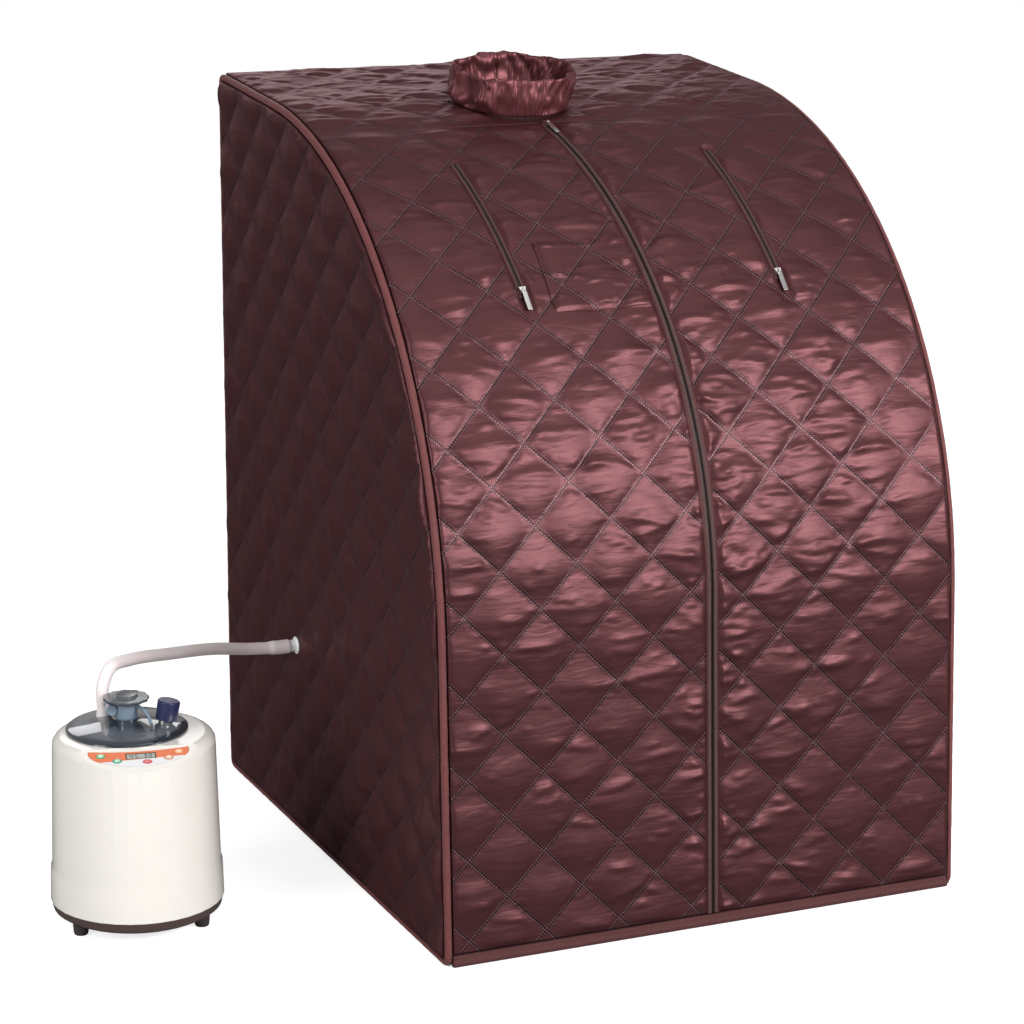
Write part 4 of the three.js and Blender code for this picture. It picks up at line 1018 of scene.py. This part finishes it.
def collar_rings(count, wall, outer_rows, rim):
    """Rings of a body that follows the collar's folds.

    The first outer_rows rows of wall face outwards, and rim is how unevenly the top runs, in mm."""
    turn = np.linspace(-math.pi, math.pi, count, endpoint=False)[:, None]
    bulge, share, loose = np.array(wall).T[:, None, :]
    outside = (np.arange(len(wall)) < outer_rows)[None, :] * 1.0
    folded = collar_folds(turn, share, outside) - MEAN_FOLD
    radius = COLLAR_BASE + MM * (bulge + loose * folded)
    uneven = 7 / 9 * (value_noise(turn * 2.3, turn * 0, 108) - 0.5)
    uneven = uneven + 2 / 9 * (value_noise(turn * 9, turn * 0, 109) - 0.5)
    height = COLLAR_HEIGHT * share + MM * rim * uneven * share ** 2
    return np.stack(np.broadcast_arrays(radius * np.cos(turn), radius * np.sin(turn), height), axis=2)


def collar():
    """The gathered neck collar: loose folds, a shirred elastic part at the front and a soft rim."""
    centre = shell(NECK_X, along_shell(NECK_ANGLE), 0.6 * MM)[0]
    place = Matrix.Translation(Vector(centre)) @ Matrix.Rotation(NECK_ANGLE, 4, "X")
    # Painted light: the collar's satin is the door satin painted paler, because its upright walls catch little
    # light.
    light, dark = shade(SATIN_LIGHT, 1.7), shade(SATIN_DARK, 1.6)
    collar_satin_painted_light = satin_material("collar_satin_painted_light", light, dark, stitched=False)
    rings = collar_rings(640, COLLAR_WALL, OUTER_ROWS, COLLAR_RIM)
    made = skinned("neck_collar_gathered", rings, [collar_satin_painted_light], loop=True)
    band = skinned("neck_elastic_band", collar_rings(240, BAND_WALL, 0, 0), [elastic], loop=True)
    for piece, node, slot in ((made, "neck_collar", "satin"), (band, "neck_elastic", "elastic")):
        piece.data.transform(place)
        stand_in(piece, slot, node)


collar()


# ---- Pocket ----
POCKET_PADDING, POCKET_HEM = 1.6 * MM, 0.9 * MM


def pocket():
    """The remote's pocket: a patch of the same quilting laid over the door, sewn on three sides."""
    left, right = POCKET["left"], POCKET["right"]
    low, high = along_shell(POCKET["bottom"]), along_shell(POCKET["top"])
    outline = rectangle(left, low, right, high)
    plane, faces = trimmed_grid([outline], CELL / 2, LEFT_PHASE)
    under, _ = door_relief(plane, LEFT_PHASE, LEFT_ARM, -1, LEFT_SEED)
    padding = POCKET_PADDING * smooth_step(0, 9 * MM, rim_distance(plane, outline))
    hem = POCKET_HEM * smooth_step(high - 12 * MM, high - 9 * MM, plane[:, 1])
    outer, inner = under + 1.0 * MM + padding + hem, under + 0.4 * MM
    made = fabric_solid("remote_pocket_patch", shell, plane, faces, outer, inner, LEFT_PHASE, [satin] * 2)
    stand_in(made, "satin", "remote_pocket")


pocket()


# ---- Hose ----
def centripetal(points, samples):
    """A centripetal Catmull-Rom curve through the points."""
    points = np.asarray(points, float)
    longer = np.concatenate([[2 * points[0] - points[1]], points, [2 * points[-1] - points[-2]]])
    knots = np.concatenate([[0], np.cumsum(np.linalg.norm(np.diff(longer, axis=0), axis=1) ** 0.5)])
    made = []
    for k in range(1, len(longer) - 2):
        near = knots[k - 1:k + 3]
        t = np.linspace(near[1], near[2], samples, endpoint=k == len(longer) - 3)[:, None]

        def between(i, j, first, second):
            return ((near[j] - t) * first + (t - near[i]) * second) / (near[j] - near[i])

        a = [between(i, i + 1, longer[k + i - 1], longer[k + i]) for i in range(3)]
        b = [between(i, i + 2, a[i], a[i + 1]) for i in range(2)]
        made.append(between(1, 2, *b))
    return np.concatenate(made)


def silicone_material():
    s = Shader("silicone")
    place = s.coordinates()
    haze = s.noise(place, 60, 4)
    s.set(Base_Color=s.mix(haze, (0.84, 0.75, 0.75), (0.91, 0.84, 0.84)), Roughness=0.3)
    s.set(Subsurface_Weight=0.5, Subsurface_Radius=(0.02, 0.014, 0.012))
    s.set(Normal=s.bump(s.noise(s.stretched(place, (1, 1, 6)), 240, 2), 0.06 * MM, 0.4))
    return s.material


silicone = silicone_material()
HOSE_OUTER, HOSE_INNER = 8 * MM, 6.2 * MM
CUFF_OUTER, CUFF_INNER = 9.2 * MM, 7.8 * MM
ELBOW_COVER = 19 * MM
CUFF_TAPER, PORT_CUFF = 9 * MM, (30 * MM, 22 * MM)
# The hose leaves the port level, rises a little and turns down on to the steam generator's elbow (metres).
PORT_RUN = [(-0.014, 0, 0), (-0.055, -0.001, 0.003)]
HOSE_BENDS = [(-0.470, 0.100, 0.272), (-0.545, 0.058, 0.286), (-0.608, 0.004, 0.302), (-0.647, -0.033, 0.306)]
LAST_BEND_Z = 0.288


def hose(path, cuff_top):
    """A soft tube swept along the path without twisting. It swells into a cuff at the port and the elbow."""
    tangent = np.gradient(path, axis=0)
    tangent /= np.linalg.norm(tangent, axis=1)[:, None]
    side = np.cross(tangent[0], (0, 0, 1.0))
    side /= np.linalg.norm(side)
    spokes = []
    for along in tangent:
        side = side - (side @ along) * along
        side /= np.linalg.norm(side)
        spokes.append(circle(28) @ np.array([side, np.cross(along, side)]))
    spokes = np.array(spokes)
    near_end = np.linspace(0, 1, len(path)) > 0.5
    swell = smooth_step(cuff_top + CUFF_TAPER, cuff_top, path[:, 2]) * near_end
    swell += smooth_step(*PORT_CUFF, np.linalg.norm(path - path[0], axis=1))
    walls = []
    for plain, cuff in ((HOSE_OUTER, CUFF_OUTER), (HOSE_INNER, CUFF_INNER)):
        walls.append(path[:, None, :] + (plain + (cuff - plain) * swell)[:, None, None] * spokes)
    return skinned("steam_hose_tube", np.concatenate([walls[0], walls[1][::-1]]), [silicone], loop=True)


hose_low, hose_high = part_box("steam_hose")
cap_low, cap_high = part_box("herb_cap")
PORT_END = Vector((hose_high.x, PORT_Y, PORT_Z))
SPIGOT_REACH, SPIGOT_ANGLE = 38 * MM, math.radians(121)
SPIGOT = Vector((
    (cap_low.x + cap_high.x) / 2 + SPIGOT_REACH * math.cos(SPIGOT_ANGLE),
    (cap_low.y + cap_high.y) / 2 + SPIGOT_REACH * math.sin(SPIGOT_ANGLE),
    hose_low.z,
))


def steam_hose():
    """The hose from the port to the lid."""
    start = np.array(PORT_END)
    spigot = np.array(SPIGOT)
    points = [start] + [start + np.array(step) for step in PORT_RUN] + HOSE_BENDS
    points += [(spigot[0], spigot[1], LAST_BEND_Z), spigot, spigot - [0, 0, ELBOW_COVER]]
    made = hose(centripetal(points, 14), spigot[2])
    stand_in(made, "silicone", "steam_hose", body=None)
    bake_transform(made)


# ---- CAD parts that stay ----
# Moulded plastics and rubber: colour, roughness and clear coat.
PLASTICS = {
    "rod_plastic": ((0.72, 0.70, 0.66), 0.5, 0.0),
    "white_plastic": ((0.90, 0.90, 0.91), 0.3, 0.3),
    "brown_plastic": ((0.065, 0.040, 0.036), 0.35, 0.3),
    "black_plastic": ((0.02, 0.02, 0.02), 0.4, 0.0),
    "circuit_board": ((0.03, 0.11, 0.05), 0.45, 0.0),
    "rubber": ((0.035, 0.028, 0.026), 0.7, 0.0),
    "navy_cap": ((0.018, 0.022, 0.075), 0.3, 0.3),
}
# Bare metals: colour and roughness.
METALS = {
    "spring_steel": ((0.28, 0.29, 0.31), 0.4),
    "zip_metal": ((0.72, 0.71, 0.70), 0.22),
    "tank_aluminium": ((0.55, 0.56, 0.57), 0.35),
    "heater_aluminium": ((0.35, 0.36, 0.37), 0.5),
}
SLOT_FINISHES = {
    "mat_fabric": lining,
    "cream_plastic": moulded("cream_plastic", (0.73, 0.70, 0.65), 0.22, 0.6, speckle=0.02),
}
for slot, values in PLASTICS.items():
    SLOT_FINISHES[slot] = moulded(slot, *values)
for slot, values in METALS.items():
    SLOT_FINISHES[slot] = metal(slot, *values)

# The control panel's own flat frame: x runs along the panel, y up its slope, z out of it.
PANEL_TURN, PANEL_SLOPE = math.radians(-12), math.radians(24)
skirt_low, skirt_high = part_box("base_skirt")
PANEL_FRAME = (
    Matrix.Translation(((skirt_low.x + skirt_high.x) / 2, (skirt_low.y + skirt_high.y) / 2, 0))
    @ Matrix.Rotation(PANEL_TURN, 4, "Z")
    @ Matrix.Translation((0, -60 * MM, 239 * MM)) @ Matrix.Rotation(PANEL_SLOPE, 4, "X")
)
SPLIT_HEIGHT, SPLIT_TILT = -20.5 * MM, 0.05
KEY_RING = (0.27, 0.33)
PRINT_ORANGE, PRINT_GREY = (0.66, 0.17, 0.075), (0.68, 0.68, 0.70)
DISPLAY_MIDDLE, DISPLAY_SIZE = (2 * MM, -14.5 * MM), (36 * MM, 10 * MM)


def on_panel(s):
    """x and y of the shaded point in the control panel's frame."""
    position = s.node("ShaderNodeNewGeometry").outputs["Position"]
    turn = (PANEL_SLOPE, 0, PANEL_TURN)
    inputs = {"Vector": position, "Location": PANEL_FRAME.translation, "Rotation": turn}
    local = s.node("ShaderNodeMapping", inputs, vector_type="TEXTURE").outputs[0]
    return s.parts(local)[:2]


def panel_print():
    """Printed film: orange above a slanting line, pale grey below it."""
    s = Shader("panel_print")
    x, y = on_panel(s)
    split = s.spread(x, SPLIT_TILT, SPLIT_HEIGHT)
    upper = s.ramp(s.math("SUBTRACT", y, split), -0.3 * MM, 0.3 * MM)
    fleck = s.noise(s.coordinates(), 300, 3)
    orange = s.mix(fleck, shade(PRINT_ORANGE, 0.9), shade(PRINT_ORANGE, 1.1))
    s.set(Base_Color=s.mix(upper, PRINT_GREY, orange), Coat_Weight=0.5, Coat_Roughness=0.1)
    s.set(Roughness=s.spread(fleck, 0.1, 0.3), Normal=s.bump(fleck, 0.03 * MM, 0.3))
    return s.material


def display_glass():
    """The display: a grey-green liquid crystal with a dark printed frame."""
    s = Shader("display_glass")
    x, y = on_panel(s)
    inside = None
    for place, middle, size in zip((x, y), DISPLAY_MIDDLE, DISPLAY_SIZE):
        share = s.ramp(s.away(place, middle), size / 2 - 1.0 * MM, size / 2 - 1.3 * MM)
        inside = share if inside is None else s.times(inside, share)
    haze = s.noise(s.coordinates(), 90, 3)
    crystal = s.mix(haze, (0.30, 0.32, 0.29), (0.38, 0.40, 0.36))
    s.set(Base_Color=s.mix(inside, (0.05, 0.055, 0.05), crystal), Roughness=0.2, Coat_Weight=0.7)
    s.set(Normal=s.bump(haze, 0.02 * MM, 0.3))
    return s.material


def key_cap(name, rim, middle):
    """A printed key: a coloured ring round a paler middle."""
    s = Shader(name)
    inputs = {"Vector": s.coordinates("Generated"), "Location": (-0.5, -0.5, 0)}
    flat = s.stretched(s.node("ShaderNodeMapping", inputs).outputs[0], (1, 1, 0))
    away = s.node("ShaderNodeVectorMath", {0: flat}, operation="LENGTH").outputs["Value"]
    ring = s.ramp(away, *KEY_RING)
    fleck = s.noise(s.coordinates(), 500, 3)
    base = s.mix(ring, middle, rim)
    s.set(Base_Color=s.mix(s.times(fleck, 0.25), base, shade(rim, 0.7)), Roughness=0.3)
    s.set(Coat_Weight=0.4, Normal=s.bump(fleck, 0.03 * MM, 0.3))
    return s.material


def smoked_lid():
    """Clear smoked plastic: a dark middle and rim, a paler band between them, and a pale blue tower."""
    s = Shader("smoked_lid")
    x, y, z = s.parts(s.coordinates("Generated"))
    flat = s.node("ShaderNodeCombineXYZ", {"X": x, "Y": y}).outputs[0]
    from_axis = s.node("ShaderNodeVectorMath", {0: flat, 1: (0.5, 0.5, 0)}, operation="DISTANCE")
    away = from_axis.outputs["Value"]
    band = s.times(s.ramp(away, 0.20, 0.34), s.ramp(away, 0.46, 0.42))
    haze = s.noise(s.coordinates(), 22, 3)
    dome = s.mix(s.times(band, haze), (0.022, 0.028, 0.038), (0.20, 0.21, 0.235))
    tower = s.mix(haze, (0.17, 0.25, 0.34), (0.34, 0.44, 0.54))
    high = s.ramp(z, 0.27, 0.34)
    s.set(Base_Color=s.mix(high, dome, tower), Roughness=s.spread(haze, 0.06, 0.05))
    s.set(Transmission_Weight=s.times(high, 0.35), Coat_Weight=0.8, Coat_Roughness=0.04)
    s.set(Normal=s.bump(s.noise(s.coordinates(), 24, 2), 0.12 * MM, 0.2))
    return s.material


def smoked_cap():
    """The herb cap: grey smoked plastic, near black round its rim, with its top painted paler as a painted
    highlight.
    """
    s = Shader("smoked_cap")
    height = s.parts(s.coordinates("Generated"))[2]
    haze = s.noise(s.coordinates(), 40, 3)
    # Painted highlight: the top is paler than the rim.
    top = s.mix(haze, (0.05, 0.06, 0.07), (0.11, 0.125, 0.14))
    s.set(Base_Color=s.mix(s.ramp(height, 0.55, 0.66), (0.018, 0.022, 0.028), top))
    s.set(Roughness=s.spread(haze, 0.08, 0.16), Coat_Weight=0.3, Coat_Roughness=0.05)
    s.set(Normal=s.bump(haze, 0.05 * MM, 0.2))
    return s.material


NODE_FINISHES = {
    "steamer_lid": smoked_lid(),
    "herb_cap": smoked_cap(),
    "control_panel": panel_print(),
    "display_window": display_glass(),
}
# Printed keys: colour of the ring and of its middle.
KEYS = {
    "menu": ((0.13, 0.42, 0.20), (0.55, 0.80, 0.60)),
    "start": ((0.06, 0.36, 0.20), (0.55, 0.72, 0.64)),
    "stop": ((0.62, 0.10, 0.11), (0.55, 0.20, 0.20)),
    "minus": ((0.62, 0.30, 0.20), (0.86, 0.66, 0.55)),
    "plus": ((0.80, 0.36, 0.16), (0.90, 0.62, 0.45)),
}
for key, colours in KEYS.items():
    NODE_FINISHES[key + "_button"] = key_cap(key + "_key", *colours)


# Modifiers that weld a CAD node's split corners and round its edges a little.
ROUNDING = {
    "WELD": {"merge_threshold": 0.01 * MM},
    "BEVEL": {"width": 0.4 * MM, "segments": 2, "limit_method": "ANGLE", "angle_limit": math.radians(32)},
    "WEIGHTED_NORMAL": {"keep_sharp": True},
}


def soften(node):
    """Shades a CAD node smooth and rounds its edges."""
    data = node.data
    if "custom_normal" in data.attributes:
        data.attributes.remove(data.attributes["custom_normal"])
    data.shade_smooth()
    for kind, settings in ROUNDING.items():
        made = node.modifiers.new(kind.lower(), kind)
        for key, value in settings.items():
            setattr(made, key, value)


def dress_nodes():
    slot_of = {part["node"]: part["material_slot"] for part in frame["record"]["subparts"]}
    for name, node in frame["nodes"].items():
        if node.hide_render:
            continue
        node.data.materials.clear()
        node.data.materials.append(NODE_FINISHES.get(name) or SLOT_FINISHES[slot_of[name]])
        soften(node)


DIGIT_WIDTH, DIGIT_HEIGHT, SEGMENT = 3.6 * MM, 6.4 * MM, 0.75 * MM
DIGIT_STEP = 6.0 * MM
DIGITS_SHOWN = [(4, -2.2), (5, -1.2), (3, 0.6), (0, 1.6)]
DIGIT_DEPTH = (-0.4 * MM, -0.15 * MM)
BOX_CORNERS = 8
BOX_FACES = np.array([(3, 2, 1, 0), (4, 5, 6, 7), (0, 1, 5, 4), (1, 2, 6, 5), (2, 3, 7, 6), (3, 0, 4, 7)])
SEGMENTS_LIT = {0: "abcdef", 3: "abcdg", 4: "bcfg", 5: "acdfg"}


def digit_segments(digit, x, y):
    """Outlines of a seven-segment digit whose lower left corner is at (x, y)."""
    w, h, t = DIGIT_WIDTH, DIGIT_HEIGHT, SEGMENT
    boxes = {
        "a": (t, h - t, w - t, h), "g": (t, (h - t) / 2, w - t, (h + t) / 2), "d": (t, 0, w - t, t),
        "b": (w - t, (h + t) / 2, w, h - t / 2), "c": (w - t, t / 2, w, (h - t) / 2),
        "e": (0, t / 2, t, (h - t) / 2), "f": (0, (h + t) / 2, t, h - t / 2),
    }
    found = []
    for letter in SEGMENTS_LIT[digit]:
        left, low, right, high = boxes[letter]
        found.append(rectangle(x + left, y + low, x + right, y + high))
    return found


def display_digits():
    """Four generic digits: a temperature and a time."""
    middle_x, middle_y = DISPLAY_MIDDLE
    outlines = []
    for digit, steps in DIGITS_SHOWN:
        outlines += digit_segments(digit, middle_x + steps * DIGIT_STEP, middle_y - DIGIT_HEIGHT / 2)
    points = [(x, y, z) for outline in outlines for z in DIGIT_DEPTH for x, y in outline]
    faces = np.concatenate([BOX_FACES + BOX_CORNERS * k for k in range(len(outlines))])
    ink = moulded("digit_ink", (0.03, 0.035, 0.03), 0.4)
    made = mesh_object("display_digits", points, faces.tolist(), [ink])
    made.data.shade_flat()
    made.data.transform(PANEL_FRAME)
    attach(made, "sauna")


display_digits()
steam_hose()
dress_nodes()


# ---- Stage ----
FLOOR_REACH, FLOOR_GAP = 9.0, 0.4 * MM
# Softboxes: place, point aimed at, width, height and power.
SOFTBOXES = {
    "key": ((1.25, -3.1, 1.95), (0, -0.3, 0.5), 2.2, 0.9, 142),
    "top": ((0.4, -0.6, 3.4), (0, 0, 0.5), 2.4, 2.0, 14),
    "left_fill": ((-3.3, -1.1, 1.5), (-0.6, 0, 0.3), 1.2, 1.6, 56),
    "back": ((0.5, 3.4, 1.9), (0, 0, 0.9), 2.6, 0.8, 13),
}


def stage():
    s = Shader("floor")
    grain = s.noise(s.coordinates(), 3, 3)
    paths = s.node("ShaderNodeLightPath").outputs
    pale = s.mix(grain, (0.60, 0.60, 0.60), (0.63, 0.63, 0.63))
    s.set(Base_Color=s.mix(paths["Is Glossy Ray"], pale, (0.16, 0.16, 0.16)), Roughness=0.9)
    s.set(Emission_Color=(1, 1, 1, 1), Emission_Strength=s.times(paths["Is Camera Ray"], 0.76))
    corners = [(x, y, 0) for x, y in rectangle(-FLOOR_REACH, -FLOOR_REACH, FLOOR_REACH, FLOOR_REACH)]
    floor = mesh_object("floor", corners, [(0, 1, 2, 3)], [s.material])
    floor.location.z = -FLOOR_GAP


def world():
    """White where the camera sees it, grey for soft light, dim in reflections so the softboxes stand out."""
    sky = bpy.data.worlds.new("studio")
    bpy.context.scene.world = sky
    sky.use_nodes = True
    nodes, links = sky.node_tree.nodes, sky.node_tree.links
    nodes.clear()
    path = nodes.new("ShaderNodeLightPath")
    shown = None
    for ray, strength in ((None, 0.40), ("Is Glossy Ray", 0.36), ("Is Camera Ray", 1.0)):
        light = nodes.new("ShaderNodeBackground")
        light.inputs["Color"].default_value = (1, 1, 1, 1)
        light.inputs["Strength"].default_value = strength
        if ray is None:
            shown = light.outputs[0]
            continue
        mix = nodes.new("ShaderNodeMixShader")
        links.new(path.outputs[ray], mix.inputs[0])
        links.new(shown, mix.inputs[1])
        links.new(light.outputs[0], mix.inputs[2])
        shown = mix.outputs[0]
    links.new(shown, nodes.new("ShaderNodeOutputWorld").inputs["Surface"])


def softbox(name, place, aim, width, height, power):
    data = bpy.data.lights.new(name, "AREA")
    data.shape = "RECTANGLE"
    data.size, data.size_y, data.energy = width, height, power
    made = bpy.data.objects.new(name, data)
    made.location = place
    made.rotation_euler = (Vector(aim) - Vector(place)).to_track_quat("-Z", "Y").to_euler()
    made.visible_camera = False
    bpy.context.scene.collection.objects.link(made)


CAMERA_PLACE = Vector((-1.6654, -3.5607, 1.4515))
CAMERA_AIM = Vector((-0.1004, -0.0192, 0.4472))
CAMERA_ROLL = math.radians(-0.346)
LENS = 108.6


def camera():
    data = bpy.data.cameras.new("camera")
    data.lens = LENS
    data.sensor_width = 36
    data.clip_start, data.clip_end = 0.05, 60
    made = bpy.data.objects.new("camera", data)
    made.location = CAMERA_PLACE
    turn = (CAMERA_AIM - CAMERA_PLACE).to_track_quat("-Z", "Y").to_matrix().to_4x4()
    made.rotation_euler = (turn @ Matrix.Rotation(-CAMERA_ROLL, 4, "Z")).to_euler()
    bpy.context.scene.collection.objects.link(made)
    bpy.context.scene.camera = made


stage()
world()
for name, values in SOFTBOXES.items():
    softbox(name, *values)
camera()
bpy.context.scene.view_settings.view_transform = "Standard"
